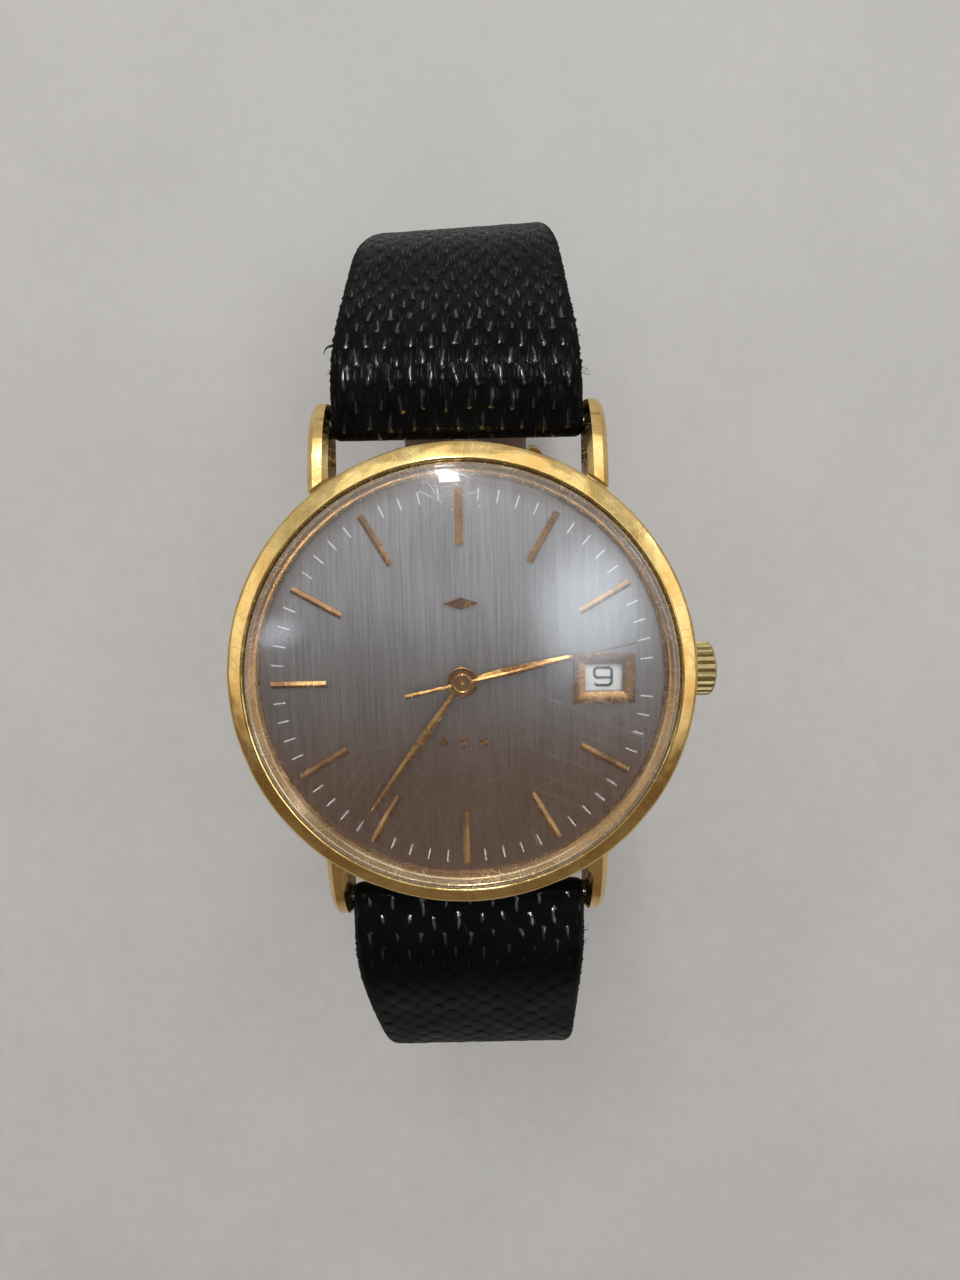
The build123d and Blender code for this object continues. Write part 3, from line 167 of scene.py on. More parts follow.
class Look:
    """A procedural material around one Principled shader, built node by node."""

    def __init__(self, name, **sockets):
        self.material = bpy.data.materials.new(name)
        self.material.use_nodes = True
        self.tree = self.material.node_tree
        self.bsdf = self.tree.nodes["Principled BSDF"]
        fill(self.tree, self.bsdf, sockets)
        self.place = None

    def finish(self, colour, roughness, normal, **sockets):
        """Link or set the shader's main sockets, and give the material."""
        fill(self.tree, self.bsdf, {"Base Color": colour, "Roughness": roughness,
                                    "Normal": normal, **sockets})
        return self.material

    def node(self, kind, sockets=None, **props):
        return new_node(self.tree, kind, sockets, **props)

    def mapped(self, scale, turn, kind):
        """The place on the piece, stretched and turned."""
        if self.place is None:
            self.place = self.node("TexCoord").outputs["Object"]
        sockets = {"Vector": self.place, "Scale": scale, "Rotation": turn}
        return self.node("Mapping", sockets, vector_type=kind).outputs["Vector"]

    def mm(self, scale=(1, 1, 1), turn=(0, 0, 0)):
        """The place on the piece in millimetres, stretched and turned."""
        return self.mapped([s / MM for s in scale], turn, "POINT")

    def grain_along(self, size, turn):
        """The place measured in lengths of a turned, stretched grain."""
        return self.mapped([s * MM for s in size], turn, "TEXTURE")

    def noise(self, vector, scale, detail=2.0, rough=0.5):
        return self.node("TexNoise", {"Vector": vector, "Scale": scale, "Detail": detail,
                                      "Roughness": rough}).outputs["Fac"]

    def cells(self, vector, scale):
        return self.node("TexVoronoi", {"Vector": vector, "Scale": scale}).outputs["Distance"]

    def span(self, value, low, high, to_low=0.0, to_high=1.0):
        """Carry a value from one range to another, clamped, with soft ends."""
        return remap(self.tree, value, low, high, to_low, to_high, "SMOOTHSTEP")

    def sum(self, a, b, kind="ADD"):
        return self.node("Math", {0: a, 1: b}, operation=kind).outputs["Value"]

    def times(self, a, b):
        return self.sum(a, b, "MULTIPLY")

    def larger(self, a, b):
        return self.sum(a, b, "MAXIMUM")

    def blend(self, share, a, b):
        """Two colours mixed by a share from 0 to 1."""
        a, b = ((*c, 1.0) if isinstance(c, tuple) else c for c in (a, b))
        return self.node("Mix", {0: share, 6: a, 7: b}, data_type="RGBA").outputs[2]

    def bump(self, height, strength, distance):
        sockets = {"Height": height, "Strength": strength, "Distance": distance * MM}
        return self.node("Bump", sockets).outputs["Normal"]

    def axis(self, which):
        """One coordinate in millimetres."""
        return self.node("SeparateXYZ", {"Vector": self.mm()}).outputs[which]

    def scratches(self, seed, long=4.0, thin=0.12, rare=0.70):
        """Scattered straight hairlines in four directions, as a mask."""
        lines = None
        for k, angle in enumerate((0.3, 1.1, 2.0, 2.75)):
            place = self.grain_along((long, thin * (1 + 0.2 * k), long), (0.0, 0.0, angle + seed))
            line = self.span(self.noise(place, 1.0, 0.0), rare, rare + 0.05)
            lines = line if lines is None else self.larger(lines, line)
        return lines


def metal(name, colour, deep, rough=(0.1, 0.24), seed=0.0, grain=0.5, scratch=0.35, swell=0.0):
    """Worn polished metal: clouds of tarnish, fine grain, hairline scratches and a wavy polish."""
    look = Look(name, Metallic=1.0)
    place = look.mm()
    cloud = look.noise(look.mm((0.35, 0.35, 0.35), (seed, 0.4, 0.2)), 1.0, 4.0, 0.6)
    fine = look.noise(place, 7.0, 3.0)
    colour = look.blend(look.span(cloud, 0.34, 0.66), deep, colour)
    specks = look.span(look.cells(place, 1.3), 0.03, 0.09, 1.0, 0.0)
    specks = look.times(specks, look.span(look.noise(place, 0.5, 1.0), 0.5, 0.62))
    colour = look.blend(look.times(specks, 0.55), colour, tuple(0.35 * c for c in deep))
    marks = look.scratches(seed)
    roughness = look.span(look.sum(fine, cloud), 0.7, 1.3, rough[0], rough[1])
    roughness = look.sum(roughness, look.times(marks, 0.16))
    height = look.sum(look.times(fine, grain), look.times(marks, -scratch))
    if swell:
        height = look.sum(height, look.times(look.noise(place, 0.55, 1.0), swell))
    return look.finish(colour, roughness, look.bump(height, 0.1, 0.02))


def brushed(name, colour, deep, along, rough=(0.25, 0.42)):
    """Brushed metal whose lines run along one axis."""
    look = Look(name, Metallic=1.0)
    scale = [9.0, 9.0, 9.0]
    scale[along] = 0.25
    lines = look.noise(look.mm(scale), 1.0, 4.0, 0.7)
    cloud = look.noise(look.mm(), 0.3, 2.0)
    shade = look.span(look.sum(lines, cloud), 0.7, 1.3)
    roughness = look.span(lines, 0.3, 0.7, rough[0], rough[1])
    return look.finish(look.blend(shade, deep, colour), roughness, look.bump(lines, 0.25, 0.02))


def dial_look():
    """Silver grey with fine upright brushing, and a painted reflection of a dim, warm room that makes
    it warmer and darker towards six o'clock and the rim.
    """
    look = Look("dial_grey", Metallic=0.75)
    hair = look.noise(look.mm((14.0, 0.16, 1.0)), 1.0, 3.0, 0.7)
    band = look.noise(look.mm((7.5, 0.1, 1.0)), 1.0, 3.0, 0.6)
    lines = look.sum(look.times(hair, 0.8), look.times(band, 0.2))
    shade = look.span(lines, 0.38, 0.62)
    grey = look.blend(shade, (0.275, 0.272, 0.27), (0.385, 0.38, 0.395))
    # Painted reflection: dimmer grey and brown copies of the dial's silver grey stand in for the dim,
    # warm room mirrored towards six o'clock.
    dim_painted_reflection = look.blend(shade, (0.172, 0.165, 0.16), (0.245, 0.235, 0.235))
    warm_painted_reflection = look.blend(shade, (0.125, 0.080, 0.056), (0.18, 0.118, 0.085))
    cloud = look.noise(look.mm(), 0.12, 2.0)
    y = look.sum(look.axis("Y"), look.times(cloud, 4.0))
    radius = look.node("VectorMath", {0: look.mm((1, 1, 0))}, operation="LENGTH").outputs["Value"]
    # Painted reflection, laid on by place on the dial: darker towards six o'clock, browner below it
    # and at the rim.
    rim = look.span(radius, 13.4, 15.2, 0.0, 0.5)
    colour = look.blend(look.span(y, 1.0, 9.0, 1.0, 0.0), grey, dim_painted_reflection)
    colour = look.blend(look.larger(look.span(y, -7.0, 3.0, 1.0, 0.0), rim), colour, warm_painted_reflection)
    return look.finish(colour, look.span(lines, 0.3, 0.7, 0.3, 0.46), look.bump(lines, 0.3, 0.02))


def crystal_look():
    """Clear acrylic with fine scratches. Lamps shine through it unbent."""
    look = Look("crystal_clear", IOR=1.49, Coat_Roughness=0.16, Transmission_Weight=1.0)
    low = look.span(look.axis("Y"), -8.0, 6.0, 1.0, 0.35)
    long_marks = look.scratches(0.7, 7.0, 0.16, 0.745)
    short_marks = look.scratches(0.2, 2.2, 0.1, 0.76)
    marks = look.times(look.larger(long_marks, short_marks), low)
    fine = look.noise(look.mm(), 1.2, 3.0)
    haze = look.span(fine, 0.4, 0.8, 0.0, 0.02)
    clear = look.node("BsdfTransparent")
    shadow = look.node("LightPath").outputs["Is Shadow Ray"]
    mixed = look.node("MixShader", {0: shadow, 1: look.bsdf.outputs[0], 2: clear.outputs[0]})
    fill(look.tree, look.tree.nodes["Material Output"], {"Surface": mixed.outputs[0]})
    return look.finish((0.985, 0.988, 0.992, 1.0), look.sum(haze, look.times(marks, 0.22)),
                       look.bump(look.times(marks, -1.0), 0.32, 0.008),
                       Coat_Weight=look.span(fine, 0.3, 0.7, 0.5, 0.8))


def lizard_look():
    """Black lizard leather: dull, with a gloss on the scales' crests and streaks along them.

    The mesh's attributes give the scales' height, their polished keels, and the way along the
    strap, whose third part says how streaked the half is."""
    look = Look("strap_black", IOR=1.5, Specular_IOR_Level=0.02, Coat_Roughness=0.09, Coat_IOR=1.9)
    relief = look.node("Attribute", attribute_name="relief").outputs["Fac"]
    keel = look.node("Attribute", attribute_name="keel").outputs["Fac"]
    along = look.node("Attribute", attribute_name="along").outputs["Vector"]
    streaked = look.node("SeparateXYZ", {"Vector": along}).outputs["Z"]
    stretched = look.node("VectorMath", {0: along, 1: (9.0, 0.7, 0.0)},
                          operation="MULTIPLY").outputs[0]
    streak = look.noise(stretched, 1.0, 3.0, 0.6)
    cloud = look.noise(look.mm(), 0.25, 3.0)
    grain = look.noise(look.mm(), 9.0, 3.0)
    groove = look.blend(streaked, (0.016, 0.018, 0.0165), (0.0065, 0.006, 0.0055))
    colour = look.blend(look.span(relief, 0.1, 0.5), groove, (0.003, 0.0034, 0.0036))
    dust = look.times(look.span(cloud, 0.45, 0.75), 0.5)
    colour = look.blend(dust, colour, (0.007, 0.0075, 0.0075))
    wear = look.sum(look.times(relief, -0.4), look.times(cloud, 0.5))
    crest = look.span(relief, 0.35, 0.8, 0.05, 0.5)
    gloss = look.times(crest, look.span(streak, 0.53, 0.68, 0.05, 1.0))
    gloss = look.larger(look.times(gloss, streaked), look.span(keel, 0.2, 0.7))
    height = look.sum(look.sum(streak, look.times(grain, 0.35)), look.times(keel, 0.8))
    return look.finish(colour, look.span(wear, -0.4, 0.4, 0.32, 0.62),
                       look.bump(height, 0.35, 0.08), Coat_Weight=gloss)


def leather_look(name, light, dark, scale=2.2):
    """Smooth lining leather with pores and wear."""
    look = Look(name, IOR=1.45)
    pores = look.cells(look.mm(), scale * 3)
    cloud = look.noise(look.mm(), 0.3, 4.0, 0.6)
    grain = look.noise(look.mm(), scale * 2, 4.0)
    colour = look.blend(look.span(look.sum(cloud, grain), 0.7, 1.3), dark, light)
    return look.finish(colour, look.span(cloud, 0.3, 0.7, 0.55, 0.8),
                       look.bump(look.sum(pores, grain), 0.4, 0.06))


def plain_look(name, light, dark, rough, scale=4.0, strength=0.15, metallic=0.0):
    """A matt or satin surface with a fine grain: paint, rubber, jewel, thread."""
    look = Look(name, Metallic=metallic)
    grain = look.noise(look.mm(), scale, 3.0)
    cloud = look.noise(look.mm(), scale * 0.12, 2.0)
    colour = look.blend(look.span(look.sum(grain, cloud), 0.7, 1.3), dark, light)
    roughness = look.span(grain, 0.3, 0.7, rough * 0.85, rough * 1.15)
    return look.finish(colour, roughness, look.bump(grain, strength, 0.03))


METALS = {
    "case_gold": ((0.87, 0.64, 0.26), (0.70, 0.445, 0.145), (0.07, 0.17), 0.3, 0.5, 0.22, 40.0),
    "crown_gold": ((0.52, 0.43, 0.21), (0.32, 0.24, 0.10), (0.22, 0.4), 1.1, 1.2),
    "ring_gold": ((0.80, 0.60, 0.36), (0.66, 0.45, 0.23), (0.08, 0.16), 1.9, 0.15, 0.1),
    "applied_gold": ((0.55, 0.33, 0.14), (0.30, 0.155, 0.06), (0.08, 0.2), 2.4, 0.3),
    "hand_gold": ((0.64, 0.38, 0.13), (0.38, 0.19, 0.06), (0.12, 0.26), 0.8, 0.3),
    "buckle_gold": ((0.80, 0.56, 0.20), (0.60, 0.38, 0.11), (0.1, 0.22), 2.9),
}
BRUSHED = {
    "movement_nickel": ((0.72, 0.70, 0.66), (0.52, 0.50, 0.47), 0),
    "wheel_brass": ((0.78, 0.58, 0.26), (0.58, 0.40, 0.16), 1),
    "steel": ((0.66, 0.66, 0.66), (0.42, 0.42, 0.43), 0, (0.2, 0.36)),
}
PLAIN = {
    "date_white": ((0.80, 0.80, 0.77), (0.70, 0.70, 0.67), 0.5),
    "spring_steel": ((0.16, 0.20, 0.34), (0.08, 0.10, 0.2), 0.25, 5.0, 0.1, 1.0),
    "ruby": ((0.55, 0.02, 0.08), (0.35, 0.01, 0.05), 0.12),
    "gasket": ((0.03, 0.03, 0.03), (0.015, 0.015, 0.015), 0.6),
}
LOOKS = {name: make(name, *numbers)
         for make, table in ((metal, METALS), (brushed, BRUSHED), (plain_look, PLAIN))
         for name, numbers in table.items()}
LOOKS["crystal_clear"] = crystal_look()
LOOKS["dial_grey"] = dial_look()
LOOKS["strap_black"] = lizard_look()
LOOKS["lining"] = leather_look("lining", (0.17, 0.115, 0.075), (0.085, 0.055, 0.035))
EDGE_LOOK = leather_look("cut_edge", (0.03, 0.028, 0.026), (0.012, 0.011, 0.01), 4.0)
LOOP_LOOK = leather_look("loop_leather", (0.013, 0.0125, 0.012), (0.006, 0.0058, 0.0055), 3.0)
BACK_LOOK = brushed("turned_back", (0.70, 0.54, 0.22), (0.48, 0.35, 0.13), 0, (0.2, 0.34))
THREAD_LOOK = plain_look("loose_thread", (0.03, 0.03, 0.03), (0.01, 0.01, 0.01), 0.6)
PRINT_LOOK = plain_look("track_print", (0.86, 0.87, 0.90), (0.74, 0.75, 0.78), 0.45)
DIGIT_LOOK = plain_look("date_ink", (0.02, 0.022, 0.03), (0.012, 0.012, 0.016), 0.45)


# ---- meshes

def shape(name, points, faces):
    """A new object in the scene from points in millimetres."""
    mesh = bpy.data.meshes.new(name)
    points = (np.asarray(points, float) * MM).tolist()
    mesh.from_pydata(points, [], [list(map(int, face)) for face in faces])
    piece = bpy.data.objects.new(name, mesh)
    bpy.context.scene.collection.objects.link(piece)
    return piece


def add(name, body, slot, points, faces, looks=(), replaces=()):
    """A new piece from points in millimetres. It rides on a CAD body."""
    piece = shape(name, points, faces)
    mesh = piece.data
    mesh.validate()
    mesh.update()
    mesh.shade_smooth()
    for look in looks or (LOOKS[slot],):
        mesh.materials.append(look)
    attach(piece, body)
    if replaces:
        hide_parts(*replaces)
    return piece


def tube_faces(rows, ring):
    """Quads between rows of points, each row a ring, and a cap at either end."""
    k = np.arange(ring)
    row = np.stack([k, (k + 1) % ring, (k + 1) % ring + ring, k + ring], 1)
    quads = (row[None] + (np.arange(rows - 1) * ring)[:, None, None]).reshape(-1, 4)
    caps = [tuple(range(ring))[::-1], tuple(range((rows - 1) * ring, rows * ring))]
    return [tuple(face) for face in quads] + caps


def lathe(outline, segments, relief=None):
    """Points and faces of a closed outline of (r, h) turned about the Z axis."""
    outline = np.asarray(outline, float)
    count = len(outline)
    angle = np.arange(segments) * (2 * pi / segments)
    r = np.repeat(outline[None, :, 0], segments, 0)
    h = np.repeat(outline[None, :, 1], segments, 0)
    a = np.repeat(angle[:, None], count, 1)
    if relief is not None:
        r = relief(r, h, a)
    points = np.stack([r * np.cos(a), r * np.sin(a), h], -1).reshape(-1, 3)
    faces = []
    for s in range(segments):
        t = (s + 1) % segments
        for k in range(count):
            m = (k + 1) % count
            if outline[k, 0] > 1e-9 or outline[m, 0] > 1e-9:
                faces.append([s * count + k, t * count + k, t * count + m, s * count + m])
    return points, faces


def rounded(corners, radii, steps=5):
    """A closed outline whose corners are rounded, each by its own radius."""
    out = []
    corners = [np.asarray(c, float) for c in corners]
    for k, corner in enumerate(corners):
        radius = radii[k]
        if radius <= 0:
            out.append(corner)
            continue
        back = corners[k - 1] - corner
        ahead = corners[(k + 1) % len(corners)] - corner
        reach = min(radius, 0.45 * np.linalg.norm(back), 0.45 * np.linalg.norm(ahead))
        start = corner + back / np.linalg.norm(back) * reach
        end = corner + ahead / np.linalg.norm(ahead) * reach
        for t in np.linspace(0, 1, steps):
            out.append((1 - t) ** 2 * start + 2 * t * (1 - t) * corner + t ** 2 * end)
    return out


def merge(piece, distance=1e-7):
    """Join points that coincide, as on a lathe's axis."""
    bm = bmesh.new()
    bm.from_mesh(piece.data)
    bmesh.ops.remove_doubles(bm, verts=bm.verts, dist=distance)
    bmesh.ops.dissolve_degenerate(bm, edges=bm.edges, dist=distance)
    bmesh.ops.recalc_face_normals(bm, faces=bm.faces)
    bm.to_mesh(piece.data)
    bm.free()
    piece.data.shade_smooth()
    return piece


def sharpen(piece, degrees=30):
    """Keep edges hard where the surface turns by more than an angle."""
    piece.data.set_sharp_from_angle(angle=radians(degrees))
    return piece


def turned(name, body, slot, outline, segments, degrees, looks=(), replaces=()):
    """A piece turned about the watch's axis."""
    points, faces = lathe(outline, segments)
    return sharpen(merge(add(name, body, slot, points, faces, looks, replaces)), degrees)


def distances(line):
    """How far each point lies along a line of points."""
    steps = np.linalg.norm(np.diff(line, axis=0), axis=1)
    return np.concatenate([[0], np.cumsum(steps)])


def ease(share):
    """A share from 0 to 1 with soft ends."""
    return share * share * (3 - 2 * share)


# ---- case front

def bezel():
    """Bezel with a sloped face and a thin lip at the crystal."""
    outline = rounded([(CRYSTAL_R, CASE_TOP), (17.05, CASE_TOP), (BEZEL_R, 6.76), (BEZEL_R, 7.0),
                       (17.32, 7.17), (16.32, BEZEL_TOP), (CRYSTAL_R, 7.66)],
                      [0.0, 0.06, 0.08, 0.07, 0.1, 0.09, 0.07])
    turned("bezel_ring", "case", "case_gold", outline, 360, 40, replaces=["bezel"])


def dome(edge, rise, top):
    """An arc from the axis out to its edge."""
    radius = (edge ** 2 + rise ** 2) / (2 * rise)
    angles = np.linspace(0, asin(edge / radius), 26)
    return [(radius * sin(a), top - radius + radius * cos(a)) for a in angles]


def crystal():
    """Domed crystal with an upright skirt."""
    corner = [(15.52, 8.47), (15.78, 8.28), (15.97, 8.02), (16.08, 7.75)]
    outline = dome(15.2, 1.25, CRYSTAL_TOP) + corner
    outline += [(CRYSTAL_R, 7.5), (CRYSTAL_R, CASE_TOP), (SKIRT_R, CASE_TOP), (SKIRT_R, 7.5)]
    outline += [(15.7, 7.62), (15.5, 7.7)] + dome(14.9, 1.2, DOME_UNDERSIDE)[::-1]
    turned("crystal_dome", "case", "crystal_clear", outline, 256, 50, replaces=["crystal"])


def crown():
    """Fluted crown: narrow ridges with hollows between, rounded at both ends."""
    blank = [(0.3, 18.4), (1.3, 18.4), (1.3, 17.42), (1.72, 17.42)]
    blank += [(1.72 + 0.36 * sin(a), 17.62 - 0.2 * cos(a)) for a in np.linspace(0.15, pi / 2, 7)]
    blank += [(CROWN_R, x) for x in np.linspace(17.68, 18.78, 16)]
    blank += [(1.56 + 0.52 * cos(a), 18.78 + 0.46 * sin(a)) for a in np.linspace(0.1, 1.35, 12)]
    blank += [(1.5, 19.27), (1.2, 19.39), (0.9, 19.48), (0.6, 19.55), (0.3, 19.59), (0.02, 19.6)]

    def fluted(r, h, a):
        hollow = np.sin(pi * ((a * FLUTES / (2 * pi)) % 1.0))
        depth = FLUTE_DEPTH * (1 - (1 - hollow) ** 2.4)
        return np.where(r > FLUTE_FLOOR_R, np.minimum(r, CROWN_R - depth), r)

    points, faces = lathe(blank, FLUTES * 14, fluted)
    points = points[:, [2, 0, 1]] + np.array([0, 0, STEM_Z])
    faces = [face[::-1] for face in faces]
    piece = add("crown_fluted", "crown_group", "crown_gold", points, faces, replaces=["crown"])
    sharpen(merge(piece), 45)


bezel()
crystal()
crown()


# ---- dial print and date

def minute_track():
    """Printed strokes for the minutes between the applied markers."""
    points, faces = [], []
    low, high = TRACK_SPAN
    for minute in range(60):
        if minute % 5 == 0:
            continue
        angle = radians(90 - 6 * minute)
        out = np.array([cos(angle), sin(angle)])
        side = np.array([-out[1], out[0]])
        k = len(points)
        for z in (DIAL_TOP, DIAL_TOP + PRINT_HEIGHT):
            for r, way in ((low, 1), (low, -1), (high, -1), (high, 1)):
                points.append((*(out * r + side * way * TRACK_HALF), z))
        faces += [(k, k + 1, k + 2, k + 3), (k + 7, k + 6, k + 5, k + 4)]
        faces += [(k + a, k + 4 + a, k + 4 + (a + 1) % 4, k + (a + 1) % 4) for a in range(4)]
    track = merge(add("minute_track", "case", "dial_grey", points, faces, (PRINT_LOOK,)))
    track.data.shade_flat()


minute_track()

# Each digit as strokes, in hundredths of its width and height
DIGITS = {
    "0": [[(50, 0), (10, 0), (0, 12), (0, 88), (12, 100), (88, 100), (100, 88), (100, 12),
           (88, 0), (50, 0)]],
    "1": [[(30, 80), (62, 100), (62, 0)]],
    "2": [[(0, 84), (14, 100), (86, 100), (100, 86), (100, 64), (86, 50), (14, 20),
           (0, 2), (100, 0)]],
    "3": [[(0, 88), (14, 100), (86, 100), (100, 86), (100, 62), (86, 52), (40, 52)],
          [(86, 52), (100, 40), (100, 14), (86, 0), (14, 0), (0, 12)]],
    "4": [[(78, 0), (78, 100), (0, 28), (100, 28)]],
    "5": [[(95, 100), (6, 100), (2, 56), (86, 56), (100, 44), (100, 12), (86, 0),
           (14, 0), (0, 12)]],
    "6": [[(96, 86), (84, 100), (14, 100), (0, 86), (0, 14), (14, 0), (86, 0), (100, 12),
           (100, 44), (86, 56), (2, 56)]],
    "7": [[(0, 100), (100, 100), (36, 0)]],
    "8": [[(50, 54), (16, 54), (4, 64), (4, 88), (16, 100), (84, 100),
           (96, 88), (96, 64), (84, 54), (16, 54), (0, 42), (0, 12),
           (14, 0), (86, 0), (100, 12), (100, 42), (84, 54)]],
    "9": [[(98, 44), (14, 44), (0, 56), (0, 88), (14, 100), (86, 100), (100, 86), (100, 14),
           (86, 0), (14, 0), (2, 12)]],
}


def ribbon(line, half, z, height, points, faces):
    """A flat stroke of a given half width along a line, with mitred corners."""
    line = np.asarray(line, float)
    step = np.diff(line, axis=0)
    step /= np.linalg.norm(step, axis=1)[:, None]
    normal = np.stack([-step[:, 1], step[:, 0]], 1)
    corner = np.vstack([normal[:1], normal[:-1] + normal[1:], normal[-1:]])
    corner /= np.maximum(np.linalg.norm(corner, axis=1)[:, None], 0.3)
    inner = np.maximum((normal[:-1] * corner[1:-1]).sum(1)[:, None], 0.5)
    spread = np.vstack([np.ones((1, 1)), inner, np.ones((1, 1))])
    left, right = line + corner * half / spread, line - corner * half / spread
    start = len(points)
    for a, b in zip(left, right):
        points += [(*a, z), (*b, z), (*b, z + height), (*a, z + height)]
    for k in range(len(line) - 1):
        base = start + 4 * k
        faces += [(base + a, base + (a + 1) % 4, base + 4 + (a + 1) % 4, base + 4 + a)
                  for a in range(4)]
    last = start + 4 * (len(line) - 1)
    faces += [(start + 3, start + 2, start + 1, start), tuple(range(last, last + 4))]


def date_numbers():
    """The days on the date ring, with the ninth in the window."""
    points, faces = [], []
    for day in range(1, DAYS + 1):
        first = len(points)
        text = str(day)
        wide = DIGIT_WIDE[len(text) - 1]
        pitch = wide + DIGIT_GAP
        for k, digit in enumerate(text):
            x0 = DATE_X + (k - (len(text) - 1) / 2) * pitch - wide / 2
            for stroke in DIGITS[digit]:
                line = [(x0 + u / 100 * wide, (v / 100 - 0.5) * DIGIT_TALL) for u, v in stroke]
                ribbon(line, DIGIT_HALF, DATE_TOP, DIGIT_HEIGHT, points, faces)
        angle = -radians(360 / DAYS * (day - SHOWN_DAY))
        c, s = cos(angle), sin(angle)
        for k in range(first, len(points)):
            x, y, z = points[k]
            points[k] = (x * c - y * s, x * s + y * c, z)
    sharpen(merge(add("date_numbers", "date_ring", "date_white", points, faces, (DIGIT_LOOK,))))


date_numbers()


# ---- strap

def spline(points, count):
    """A natural cubic through points, by chord length."""
    points = np.asarray(points, float)
    t = distances(points)
    n, h = len(t), np.diff(t)
    a, b = np.eye(n), np.zeros((n, 2))
    for k in range(1, n - 1):
        a[k, k - 1], a[k, k], a[k, k + 1] = h[k - 1], 2 * (h[k - 1] + h[k]), h[k]
        b[k] = 6 * ((points[k + 1] - points[k]) / h[k] - (points[k] - points[k - 1]) / h[k - 1])
    m = np.linalg.solve(a, b)
    s = np.linspace(0, t[-1], count)
    k = np.clip(np.searchsorted(t, s, side="right") - 1, 0, n - 2)
    hk, p, q = h[k][:, None], (t[k + 1] - s)[:, None], (s - t[k])[:, None]
    bent = (m[k] * p ** 3 + m[k + 1] * q ** 3) / (6 * hk)
    return bent + (points[k] / hk - m[k] * hk / 6) * p + (points[k + 1] / hk - m[k + 1] * hk / 6) * q


class Half:
    """One strap half: its outer face from the turned-under flap, round the bar, to its end."""

    def __init__(self, route, exit_way, run, end, tip=None):
        self.end = end
        self.tip = tip
        body = spline(route, 900)
        self.spline_length = distances(body)[-1]
        tail = body[-1] + np.outer(np.linspace(0, run, 200)[1:], exit_way)
        main = np.vstack([body, tail])
        step = np.gradient(main, axis=0)
        step /= np.linalg.norm(step, axis=1)[:, None]
        inward = np.stack([-step[:, 1], step[:, 0]], 1) * -end
        gone = distances(main)
        flap_part = gone < FLAP
        flap = (main + inward * (STRAP_THICK + 0.02))[flap_part][::-1]
        turn = np.linspace(-pi / 2, pi / 2, 60)[1:-1]
        loop = np.stack([end * (BAR_Y - LOOP_R * np.cos(turn)), BAR_Z + LOOP_R * np.sin(turn)], 1)
        path = np.vstack([flap[:-1], loop, main])
        length = distances(path)
        self.start = -length[len(flap) - 1 + len(loop)]
        self.length = gone[-1]
        self.path, self.gone = path, length + self.start

    def at(self, u):
        """Places, headings and inward ways at distances along the outer face, as (y, z)."""
        reach = 0.25
        back, place, ahead = (
            np.stack([np.interp(u + step, self.gone, self.path[:, k]) for k in (0, 1)], -1)
            for step in (-reach, 0.0, reach))
        way = ahead - back
        way /= np.linalg.norm(way, axis=-1, keepdims=True)
        inward = np.stack([-way[..., 1], way[..., 0]], -1) * -self.end
        return place, way, inward

    def width(self, u):
        share = np.clip(u / (0.9 * self.spline_length), 0, 1)
        width = STRAP_WIDTH[0] + (STRAP_WIDTH[1] - STRAP_WIDTH[0]) * share
        width = width + SNUG * (1 - np.clip(u / SNUG_RUN, 0, 1))
        if self.tip is not None:
            nose = np.clip((u - self.length + NOSE) / NOSE, 0, 1)
            width = width - (width - self.tip) * nose ** 2.4
        return width

    def point(self, u, x, depth):
        """A place at a depth under the outer face, with the strap's worn twist and sag."""
        place, _, inward = self.at(u)
        if self.end > 0:
            lean = 0 * u
            stand = 0.05 * x * np.exp(-((u - 32) / 13) ** 2)
        else:
            lean = 0.7 * np.exp(-((u - 30) / 14) ** 2)
            stand = 1.2 * np.exp(-((u - 26) / 9) ** 2)
        under = depth - stand
        return np.stack([x + lean, place[..., 0] + inward[..., 0] * under,
                         place[..., 1] + inward[..., 1] * under], -1)


def waves(x, y, seed, scale, count=6):
    """Smooth, repeatable unevenness over a surface, about -1 to 1."""
    rng = random.Random(seed)
    total = np.zeros(np.broadcast(x, y).shape)
    for _ in range(count):
        angle = rng.uniform(0, 2 * pi)
        pitch = scale * rng.uniform(0.6, 1.6)
        across = x * cos(angle) + y * sin(angle)
        total += np.sin(across * 2 * pi / pitch + rng.uniform(0, 6.28))
    return total / sqrt(count * 2.0)


